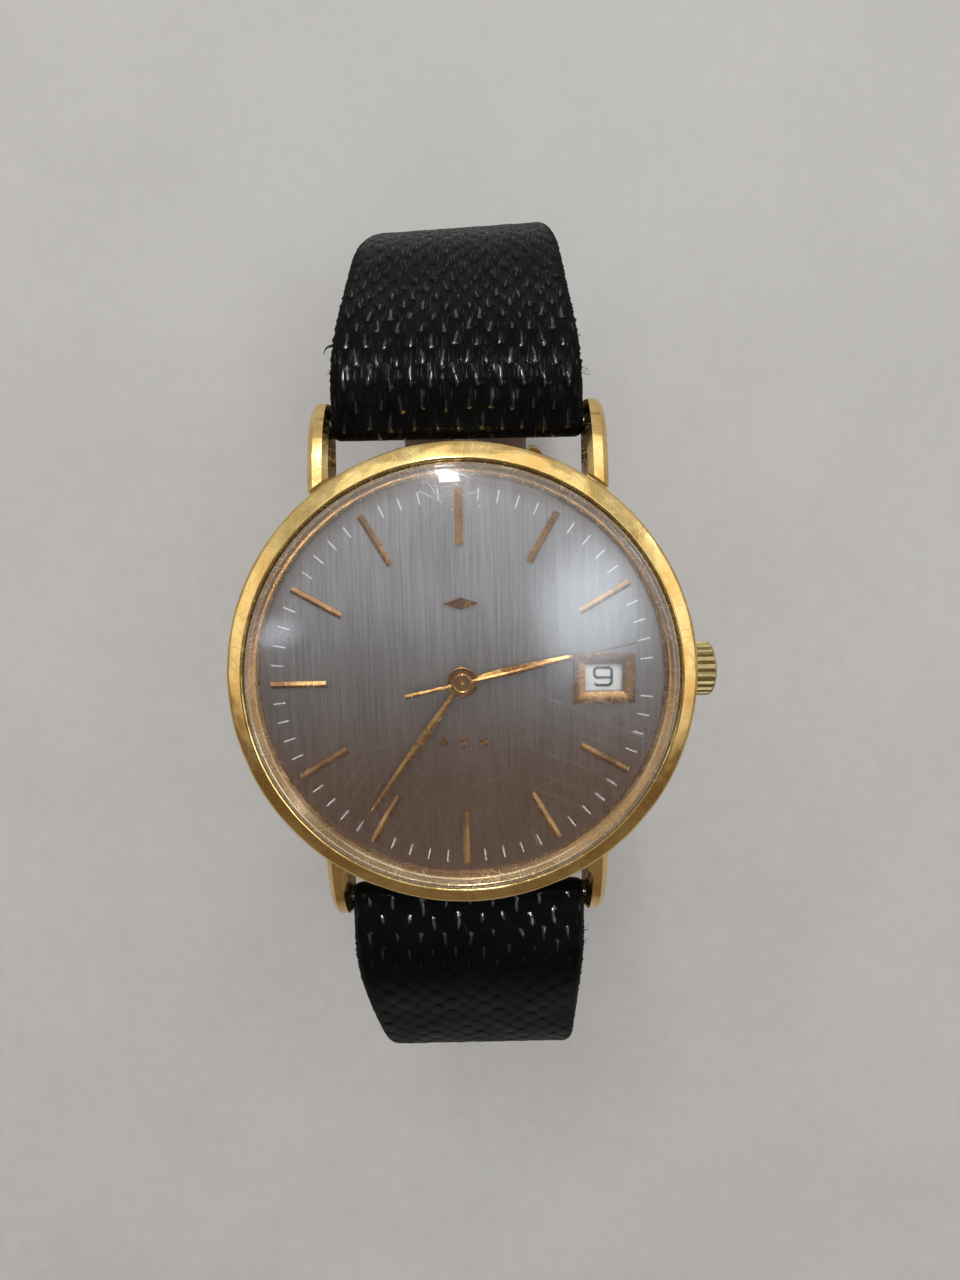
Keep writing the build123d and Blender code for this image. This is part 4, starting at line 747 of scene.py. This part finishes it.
def scale_relief(u, v, wide, pitch, seed, overlap):
    """Staggered lizard scales whose tips point at the spring bar.

    Gives their height from 0 to 1, and the polished keel and nose of each."""
    u = u + 0.3 * waves(u, v, seed, 14.0) + 0.012 * v * 2 + 0.08 * waves(u, v, seed + 5, 3.0)
    v = v + 0.22 * waves(u, v, seed + 9, 9.0) + 0.05 * waves(u, v, seed + 3, 2.2)
    best = np.zeros(u.shape)
    ridge = np.zeros(u.shape)
    row = np.floor(u / pitch)
    for step in (-1, 0, 1, 2):
        i = row + step
        shift = 0.5 * np.mod(i, 2)
        j = np.floor(v / wide - shift + 0.5)
        jitter = 0.08 * np.sin(i * 12.9898 + j * 78.233 + seed)
        across = (v / wide - shift - j + jitter * 0.5) * 2
        down = u / pitch - i - 0.5 + jitter
        size = 1 + 0.1 * np.sin(i * 3.7 + j * 9.1)
        crest = 1 - np.abs(across) ** 2.2 * 0.8
        tip = 0.98 - 0.55 * across ** 2
        edge = ease(np.clip((tip + down) / 0.22, 0, 1))
        slope = np.clip(1 - (down + tip) / 2.1, 0, 1)
        shingle = crest * edge * (0.35 + 0.65 * slope)
        radius = np.sqrt((across * 0.78) ** 2 + (down * 0.82) ** 2)
        pebble = np.clip(1 - radius ** 2.6, 0, 1)
        height = size * (overlap * shingle + (1 - overlap) * pebble)
        bend = 0.09 * np.sin(i * 5.1 + j * 2.3 + 3 * down)
        length = 0.55 + 0.25 * np.sin(i * 7.3 + j * 4.7 + seed)
        keel = np.exp(-((across - bend) / 0.11) ** 2) * np.clip((tip + down) / 0.06, 0, 1)
        keel = keel * np.clip((length - 0.55 - down) / 0.4, 0, 1)
        nose = np.exp(-((tip + down - 0.13) / 0.09) ** 2) * np.exp(-((across - bend) / 0.4) ** 2)
        keel = np.maximum(keel, nose * length)
        ridge = np.where(height >= best, keel, ridge)
        best = np.maximum(best, height)
    return np.clip(best, 0, 1.15), ridge


def skin_depth(u):
    """How thick the skin is: thin round the bar, packed out beside it, then one layer."""
    near = ease(np.clip((u - 0.7) / 1.3, 0, 1))
    packed = 0.38 + (2.0 - 0.38) * near
    far = np.clip((u - 7.0) / 3.0, 0, 1)
    return packed + (SKIN - packed) * far


def strap_mesh(half, name, body, node, wide, pitch, seed, fine, coarse):
    """Leather skin with real scales on its outer face, rolled edges and a plain back."""
    u = [half.start]
    while u[-1] < half.length:
        u.append(u[-1] + (fine if u[-1] < FINE_RUN else coarse))
    u[-1] = half.length
    u = np.array(u)
    v = np.linspace(-1, 1, SKIN_COLUMNS)
    width = half.width(np.maximum(u, 0))
    uu, vv = np.meshgrid(u, v, indexing="ij")
    side = 0.5 * width[:, None] * vv
    tall = np.clip((u + 3.0) / 4.5, 0.25, 1)[:, None]
    overlap = np.clip(1.25 - (uu - 6) / 16, 0.15, 1) if half.end > 0 else np.full(uu.shape, 0.3)
    relief, keel = scale_relief(uu, side, wide, pitch, seed, overlap)
    rim = np.clip((0.5 * width[:, None] - np.abs(side)) / ROLL_WIDE, 0, 1)
    roll = ROLL_DEEP * (1 - np.sqrt(np.clip(1 - (1 - rim) ** 2, 0, 1)))
    ragged = 0.06 * waves(uu, np.sign(vv), seed + 20, 0.9)
    ragged = ragged + 0.05 * waves(uu, np.sign(vv), seed + 21, 0.35)
    ragged = ragged * np.clip((uu - 1) / 3, 0.2, 1)
    shine = np.clip(1.5 - uu / 16, 0, 1) if half.end > 0 else np.clip(1.4 - uu / 6, 0, 1)
    keel = keel * shine
    lift = ((RELIEF * relief + KEEL * keel) * tall - 0.06) * (0.35 + 0.65 * rim) - roll
    outer = half.point(uu, side + np.where(np.abs(vv) > 0.99, ragged, 0), -lift)
    depth = skin_depth(u)
    right, left = [], []
    for share in (0.45, 0.75):
        edge = 0.5 * width + 0.05 * waves(u, share, seed + 30, 0.5) - 0.03
        right.append(half.point(u, edge, share * depth)[:, None])
        left.insert(0, half.point(u, -edge, share * depth)[:, None])
    back_uu, back_v = np.meshgrid(u, np.linspace(1, -1, 13), indexing="ij")
    back = half.point(back_uu, 0.5 * (width[:, None] - 0.1) * back_v, depth[:, None])
    ring = np.concatenate([outer, *right, back, *left], 1)
    rows, count = ring.shape[:2]
    piece = add(name, body, "strap_black", ring.reshape(-1, 3), tube_faces(rows, count),
                (LOOKS["strap_black"], EDGE_LOOK), [node])
    mesh = piece.data
    for key, values in (("relief", relief), ("keel", keel)):
        raised = np.zeros((rows, count), np.float32)
        raised[:, :len(v)] = values * rim
        mesh.attributes.new(key, "FLOAT", "POINT").data.foreach_set("value", raised.ravel())
    flow = np.zeros((rows, count, 3), np.float32)
    flow[..., 0] = ring[..., 0]
    flow[..., 1] = u[:, None]
    flow[..., 2] = STREAKED[half.end]
    mesh.attributes.new("along", "FLOAT_VECTOR", "POINT").data.foreach_set("vector", flow.ravel())
    is_edge = np.zeros((rows - 1, count), np.int32)
    is_edge[:, len(v) - 1:] = 1
    slots = np.concatenate([is_edge.ravel(), [1, 1]]).astype(np.int32)
    mesh.polygons.foreach_set("material_index", slots)
    return merge(piece, 1e-9)


def lining_mesh(half, name, body, node):
    """Lining leather under the skin, thinned to an edge at its start, with rolled sides."""
    u = np.append(np.arange(LINING_START, half.length, 0.6), half.length)
    v = np.linspace(-1, 1, 31)
    uu, vv = np.meshgrid(u, v, indexing="ij")
    x = 0.5 * (half.width(uu) - LINING_INSET) * vv
    inset = np.clip((np.abs(x) - 0.5 * half.width(uu) + 0.6) / 0.53, 0, 1)
    crease = 0.03 * waves(uu, x, 41, 3.0) + 0.02 * waves(uu, x, 43, 1.1)
    rolled = 0.28 * (1 - np.sqrt(1 - 0.96 * inset ** 2))
    inner = half.point(uu, x, STRAP_THICK - 0.04 - rolled + crease)
    uu, vv = np.meshgrid(u, np.linspace(1, -1, 9), indexing="ij")
    outer = half.point(uu, 0.5 * (half.width(uu) - LINING_INSET) * vv, skin_depth(uu) + 0.02)
    ring = np.concatenate([inner, outer], 1)
    faces = tube_faces(*ring.shape[:2])
    return merge(add(name, body, "lining", ring.reshape(-1, 3), faces, replaces=[node]), 1e-9)


def cut(piece, cutter):
    """Take closed shapes, given in millimetres, out of a piece."""
    tool = shape("cutter", *cutter)
    modifier = piece.modifiers.new("cut", "BOOLEAN")
    modifier.operation = "DIFFERENCE"
    modifier.solver = "MANIFOLD"
    modifier.object = tool
    state = bpy.context.evaluated_depsgraph_get()
    shaped = bpy.data.meshes.new_from_object(piece.evaluated_get(state), depsgraph=state,
                                             preserve_all_data_layers=True)
    piece.modifiers.clear()
    piece.data = shaped
    bpy.data.objects.remove(tool)


def prism(outline, low, high, place):
    """A closed prism from an outline of (a, b) between two levels.

    The place turns (a, b, level) into a point."""
    count = len(outline)
    points = [place(a, b, level) for level in (low, high) for a, b in outline]
    return points, tube_faces(2, count)


def joined(parts):
    """Several closed shapes as one list of points and faces."""
    points, faces = [], []
    for some_points, some_faces in parts:
        first = len(points)
        points += list(some_points)
        faces += [tuple(first + k for k in face) for face in some_faces]
    return points, faces


UPPER = Half(UPPER_ROUTE, np.array([cos(BUCKLE_SLOPE), sin(BUCKLE_SLOPE)]), BUCKLE_RUN, 1)
LOWER = Half(LOWER_ROUTE, np.array([1.0, 0.0]), TAIL_RUN, -1, TAIL_TIP)
SKINS = [strap_mesh(UPPER, "strap_upper_lizard", "strap_12", "strap_upper",
                    wide=1.64, pitch=1.57, seed=3, fine=0.16, coarse=0.3),
         strap_mesh(LOWER, "strap_lower_lizard", "strap_6", "strap_lower",
                    wide=2.0, pitch=1.42, seed=11, fine=0.18, coarse=0.32)]
LININGS = [lining_mesh(UPPER, "strap_upper_lining_leather", "strap_12", "strap_upper_lining"),
           lining_mesh(LOWER, "strap_lower_lining_leather", "strap_6", "strap_lower_lining")]

# The buckle's own frame: its bar's middle, the way out of the strap's end, and the way inward
END_PLACE, END_WAY, END_INWARD = (np.array([0.0, *part]) for part in UPPER.at(UPPER.length))
BUCKLE_BAR = END_PLACE + END_INWARD * STRAP_THICK / 2 + END_WAY * BAR_FORWARD


def at_buckle(x, forward, outward):
    """A point from its place beside, ahead of and outside the buckle's bar."""
    return BUCKLE_BAR + np.array([x, 0.0, 0.0]) + END_WAY * forward - END_INWARD * outward


def tang_slot():
    """The slot in the strap's end that the tang turns in."""
    outline = rounded([(-1.5, -4.0), (1.5, -4.0), (1.5, 3.0), (-1.5, 3.0)], [1.2, 1.2, 0, 0])
    return prism(outline, -3.0, 3.0, at_buckle)


def tail_holes():
    """The adjustment holes through the tail."""
    circle = [(HOLE_R * cos(a), HOLE_R * sin(a)) for a in np.linspace(0, 2 * pi, 33)[:-1]]
    holes = []
    for k in range(HOLES):
        middle = LOWER.path[-1][0] - FIRST_HOLE - k * HOLE_PITCH
        holes.append(prism(circle, FLOOR_Z - 1.0, FLOOR_Z + 4.0,
                           lambda a, b, z, m=middle: (a, m + b, z)))
    return joined(holes)


for layer in (SKINS[0], LININGS[0]):
    cut(layer, tang_slot())
for layer in (SKINS[1], LININGS[1]):
    cut(layer, tail_holes())


def keeper_loop(name, body, node, distance, gap):
    """Leather loop with rounded corners and a crowned outer face.

    A section of (along the strap, out) is carried round a closed path of (x, out)."""
    half = STRAP_WIDTH[1] / 2 + gap + KEEPER_WALL / 2
    low = -STRAP_THICK / 2 - gap - KEEPER_WALL / 2
    high = STRAP_THICK / 2 + TAIL_ROOM + KEEPER_WALL / 2
    wall, wide = KEEPER_WALL / 2, KEEPER_WIDE / 2
    section = rounded([(-wide, -wall), (wide, -wall), (wide, wall * 0.6), (wide * 0.55, wall),
                       (0.0, wall * 0.9), (-wide * 0.55, wall), (-wide, wall * 0.6)],
                      [0.2, 0.2, 0.35, 0.5, 0.4, 0.5, 0.35])
    points = []
    for sx, so, turn in ((1, 1, 0.0), (-1, 1, 0.5), (-1, -1, 1.0), (1, -1, 1.5)):
        cx = sx * (half - KEEPER_CORNER)
        co = (high if so > 0 else low) - so * KEEPER_CORNER
        for a in np.linspace(turn, turn + 0.5, 9) * pi:
            for forward, out in section:
                reach = KEEPER_CORNER + out
                points.append(at_buckle(cx + reach * cos(a), forward - distance,
                                        co + reach * sin(a)))
    count, total = len(section), len(points)
    faces = []
    for row in range(0, total, count):
        following = (row + count) % total
        for c in range(count):
            d = (c + 1) % count
            faces.append((row + c, following + c, following + d, row + d))
    merge(add(name, body, "strap_black", points, faces, (LOOP_LOOK,), [node]))


keeper_loop("fixed_keeper_leather", "strap_12", "fixed_keeper", FIXED_KEEPER_AT, 0.0)
keeper_loop("floating_keeper_leather", "sliding_keeper", "floating_keeper", FLOATING_KEEPER_AT, 0.15)


def bar_fold():
    """The skin's turn round the buckle's bar, in two parts beside the tang."""
    parts = []
    outer, inner = STRAP_THICK / 2, BUCKLE_BAR_R + 0.04
    start = -0.7
    turn = np.linspace(0, pi, 15)
    sections = ((1.5, 0.12), (1.58, 0.03), (1.75, 0.0), (7.75, 0.0), (7.92, 0.03), (8.0, 0.12))
    for side in (-1, 1):
        rows = []
        for x, less in sections:
            big, small = outer - less, inner + less
            edge = [(start, big)]
            edge += [(big * sin(a), big * cos(a)) for a in turn]
            edge += [(start, -big), (start, -small)]
            edge += [(small * sin(a), -small * cos(a)) for a in turn]
            edge += [(start, small)]
            rows += [at_buckle(side * x, forward, out) for forward, out in edge]
        parts.append((rows, tube_faces(len(sections), len(edge))))
    merge(add("bar_fold_leather", "strap_12", "strap_black", *joined(parts), (LOOP_LOOK,)))


bar_fold()


def fibre(points, thick):
    """A loose thread along a bent line, fading to a point."""
    line = np.asarray(points, float)
    t = np.linspace(0, 1, 14)[:, None]
    curve = (1 - t) ** 2 * line[0] + 2 * t * (1 - t) * line[1] + t ** 2 * line[2]
    rows = []
    for k, spot in enumerate(curve):
        radius = thick * (1 - 0.8 * k / 13)
        rows += [spot + radius * np.array([cos(a), sin(a), 0.4 * sin(2 * a)])
                 for a in np.linspace(0, 2 * pi, 6)[:-1]]
    return rows, tube_faces(14, 5)


def loose_threads(half, name, body, spots):
    """Frayed fibres that stand off the strap's edges."""
    rng = random.Random(5)
    parts = []
    for side, u, long, thick in spots:
        for k in range(3 if thick < 0.1 else 1):
            edge = side * (0.5 * half.width(np.array(u)) - 0.1)
            root = half.point(np.array(u + 0.2 * k), edge, 0.5)
            reach = np.array([side * long * rng.uniform(0.5, 1.0),
                              -half.end * long * rng.uniform(0.1, 0.9),
                              rng.uniform(-0.2, 0.4) * long])
            bow = np.array([side * 0.3 * long, half.end * rng.uniform(-0.4, 0.4) * long,
                            rng.uniform(-0.2, 0.3)])
            parts.append(fibre([root, root + 0.5 * reach + bow, root + reach], thick))
    merge(add(name, body, "strap_black", *joined(parts), (THREAD_LOOK,)))


loose_threads(UPPER, "upper_loose_threads", "strap_12",
              [(-1, 6.6, 0.9, 0.13), (-1, 3.8, 0.35, 0.03), (1, 3.6, 0.8, 0.025),
               (1, 7.2, 0.4, 0.03)])
loose_threads(LOWER, "lower_loose_threads", "strap_6",
              [(1, 2.4, 0.5, 0.03), (1, 3.6, 0.6, 0.025), (-1, 4.4, 0.35, 0.03)])


# ---- rings and hubs

def date_frame():
    """Frame round the date: a flat rim with eased edges, and slopes down to the opening."""
    wide, high = FRAME_HALF
    levels = [(0.0, 0.0), (0.0, 0.25), (0.05, 0.3), (0.33, 0.3), (0.36, 0.27)]
    rings = [(wide - inset, high - inset, DIAL_TOP + up) for inset, up in levels]
    rings.append((*DATE_HALF, DIAL_TOP))
    points = [(DATE_X + sx * x, sy * y, z) for x, y, z in rings
              for sx, sy in ((1, 1), (-1, 1), (-1, -1), (1, -1))]
    faces = []
    for k in range(len(rings)):
        this, following = 4 * k, 4 * ((k + 1) % len(rings))
        faces += [(this + c, this + (c + 1) % 4, following + (c + 1) % 4, following + c)
                  for c in range(4)]
    piece = add("date_frame_rimmed", "case", "applied_gold", points, faces,
                replaces=["date_window_frame"])
    sharpen(merge(piece), 20)


def tension_ring():
    """Bright ring inside the crystal, stepped so that it glints in thin arcs."""
    outline = rounded([(15.0, CASE_TOP), (SKIRT_R, CASE_TOP), (SKIRT_R, 7.6), (15.58, 7.6),
                       (15.34, 7.28), (15.24, 7.2), (15.05, 6.92), (15.0, 6.82)],
                      [0, 0, 0.04, 0.06, 0.05, 0.05, 0.05, 0.03], 4)
    turned("tension_ring_stepped", "case", "ring_gold", outline, 256, 60,
           replaces=["crystal_tension_ring"])


def seconds_hub():
    """Dished cap on the seconds hand's hub, with the arbor's end in its middle."""
    outline = rounded([(0.0, 7.6), (0.78, 7.6), (0.78, 7.82), (0.62, 7.86), (0.5, 7.8), (0.3, 7.8),
                       (0.27, 7.87), (0.17, 7.87), (0.15, 7.8), (0.12, 7.96), (0.0, 7.98)],
                      [0, 0, 0.05, 0.05, 0.04, 0.03, 0.02, 0.02, 0.02, 0.03, 0], 4)
    turned("seconds_hub_cap", "seconds_group", "hand_gold", outline, 48, 50)


def hour_hub():
    """Raised rim on the hour hand's hub."""
    outline = rounded([(0.98, 7.1), (1.15, 7.1), (1.15, 7.21), (1.08, 7.25), (0.98, 7.2)],
                      [0, 0, 0.03, 0.04, 0.03], 4)
    turned("hour_hub_rim", "hour_group", "hand_gold", outline, 64, 50)


def turned_back():
    """Case back with a raised middle, a turned groove round it and a sloped rim."""
    outline = rounded([(0.0, 0.02), (10.6, 0.02), (10.75, 0.12), (10.95, 0.12), (11.1, 0.0),
                       (14.0, 0.0), (14.86, 0.45), (14.86, 0.9), (0.0, 0.9)],
                      [0, 0.05, 0.04, 0.04, 0.05, 0.2, 0.05, 0, 0], 4)
    turned("case_back_turned", "case", "case_gold", outline, 192, 40, (BACK_LOOK,), ["case_back"])


date_frame()
tension_ring()
seconds_hub()
hour_hub()
turned_back()


# ---- finish of the CAD parts

SOFT_EDGES = {"case_middle": 0.07, "hour_markers": 0.025, "dial_ornaments": 0.05,
              "hour_hand": 0.012, "minute_hand": 0.012, "seconds_hand": 0.01, "buckle_frame": 0.5,
              "buckle_tang": 0.22, "rotor": 0.04, "barrel_bridge": 0.05, "train_bridge": 0.05,
              "balance_cock": 0.05, "main_plate": 0.04}


# Better materials and soft edges on the CAD nodes
for row in frame["record"]["subparts"]:
    part = frame["nodes"][row["node"]]
    part.data.materials.clear()
    part.data.materials.append(LOOKS[row["material_slot"]])
    if row["node"] in SOFT_EDGES:
        bevel = part.modifiers.new("soft_edges", "BEVEL")
        bevel.width = SOFT_EDGES[row["node"]] * MM
        bevel.segments = 3
        bevel.limit_method = "ANGLE"
        bevel.angle_limit = radians(35)


# ---- floor, light and camera

FLOOR_REACH = 3000.0
FLOOR_GAP = 0.4
LAMP_AIM = Vector((0, 0, 0.005))


def pale_floor():
    """A plain floor just under the object."""
    z = CAD_BOX[0].z / MM - FLOOR_GAP
    corners = [(x * FLOOR_REACH, y * FLOOR_REACH, z) for x, y in ((-1, -1), (1, -1), (1, 1), (-1, 1))]
    floor = shape("floor", corners, [(0, 1, 2, 3)])
    look = plain_look("pale_floor", (0.66, 0.655, 0.64), (0.62, 0.615, 0.60), 0.7, 0.4, 0.0)
    floor.data.materials.append(look)


def softbox(name, where, size, watts, colour):
    """An area lamp that faces the watch, in metres and watts."""
    lamp = bpy.data.lights.new(name, "AREA")
    lamp.shape = "RECTANGLE"
    lamp.size, lamp.size_y = size
    lamp.energy = watts
    lamp.color = colour
    thing = bpy.data.objects.new(name, lamp)
    thing.location = where
    thing.rotation_mode = "QUATERNION"
    thing.rotation_quaternion = (LAMP_AIM - Vector(where)).to_track_quat("-Z", "Y")
    bpy.context.scene.collection.objects.link(thing)
    return thing


def soft_edge(thing):
    """Let a lamp's glow fade away from the middle of its face."""
    lamp = thing.data
    lamp.use_nodes = True
    tree = lamp.node_tree
    place = new_node(tree, "NewGeometry").outputs["Parametric"]
    spread = new_node(tree, "VectorMath", {0: place, 1: (0.5, 0.5, 0.0)}, operation="DISTANCE")
    glow = remap(tree, spread.outputs["Value"], 0.5, 0.08, 0.0, 2.6, "SMOOTHERSTEP")
    fill(tree, tree.nodes["Emission"], {"Strength": glow})


def room():
    """Light from all round: pale above twelve o'clock, dim and warm below six."""
    world = bpy.data.worlds.new("room")
    bpy.context.scene.world = world
    world.use_nodes = True
    tree = world.node_tree
    heading = new_node(tree, "TexCoord").outputs["Generated"]
    y = new_node(tree, "SeparateXYZ", {"Vector": heading}).outputs["Y"]
    ramp = new_node(tree, "ValToRGB", {"Fac": remap(tree, y, -1.0, 1.0, 0.0, 1.0, "LINEAR")})
    shades = [(0.0, (0.20, 0.155, 0.12)), (0.36, (0.19, 0.155, 0.13)),
              (0.53, (0.36, 0.352, 0.35)), (0.8, (0.62, 0.63, 0.65))]
    for k, (spot, shade) in enumerate(shades):
        stop = ramp.color_ramp.elements[k] if k < 2 else ramp.color_ramp.elements.new(spot)
        stop.position = spot
        stop.color = (*shade, 1.0)
    fill(tree, tree.nodes["Background"], {"Color": ramp.outputs["Color"], "Strength": 1.0})


pale_floor()
room()
softbox("ceiling", (0.0, 0.46, 0.54), (1.0, 0.54), 1.28, (1.0, 0.985, 0.96))
softbox("strip", (-0.035, 0.30, 0.41), (0.030, 0.30), 0.55, (1.0, 0.99, 0.97))
softbox("doorway", (0.53, 0.27, 0.17), (0.05, 0.1), 0.08, (1.0, 0.98, 0.95))
for lamp in (softbox("window", (0.16, -0.01, 0.47), (0.27, 0.21), 0.21, (0.84, 0.92, 1.0)),
             softbox("side_window", (-0.262, -0.03, 0.44), (0.06, 0.12), 0.022, (0.78, 0.85, 1.0)),
             softbox("left_wall", (-0.55, 0.02, 0.22), (0.8, 0.45), 0.36, (1.0, 0.96, 0.90)),
             softbox("right_wall", (0.55, 0.0, 0.22), (1.05, 0.45), 0.58, (1.0, 0.97, 0.94))):
    soft_edge(lamp)

bpy.context.scene.view_settings.view_transform = "Standard"

DIAL_CENTRE = Vector((0, 0, DIAL_TOP * MM))
TILT = radians(9.6)
ROLL = radians(1.2)
DISTANCE = 0.067
ASIDE = 0.0013
ABOVE = 0.0030


def aim_camera():
    """A near camera over the dial, leaning to the twelve o'clock side."""
    camera = bpy.data.cameras.new("camera")
    camera.lens = 25.2
    camera.sensor_width = 36.0
    camera.clip_start = 0.005
    camera.clip_end = 20.0
    eye = bpy.data.objects.new("camera", camera)
    bpy.context.scene.collection.objects.link(eye)
    toward = Vector((0, sin(TILT), cos(TILT)))
    level_up = Vector((0, cos(TILT), -sin(TILT)))
    level_right = Vector((1, 0, 0))
    up = level_up * cos(ROLL) + level_right * sin(ROLL)
    right = level_right * cos(ROLL) - level_up * sin(ROLL)
    where = DIAL_CENTRE + toward * DISTANCE + right * ASIDE + up * ABOVE
    rows = [(right[k], up[k], toward[k], where[k]) for k in range(3)]
    eye.matrix_world = Matrix(rows + [(0, 0, 0, 1)])
    bpy.context.scene.camera = eye


aim_camera()
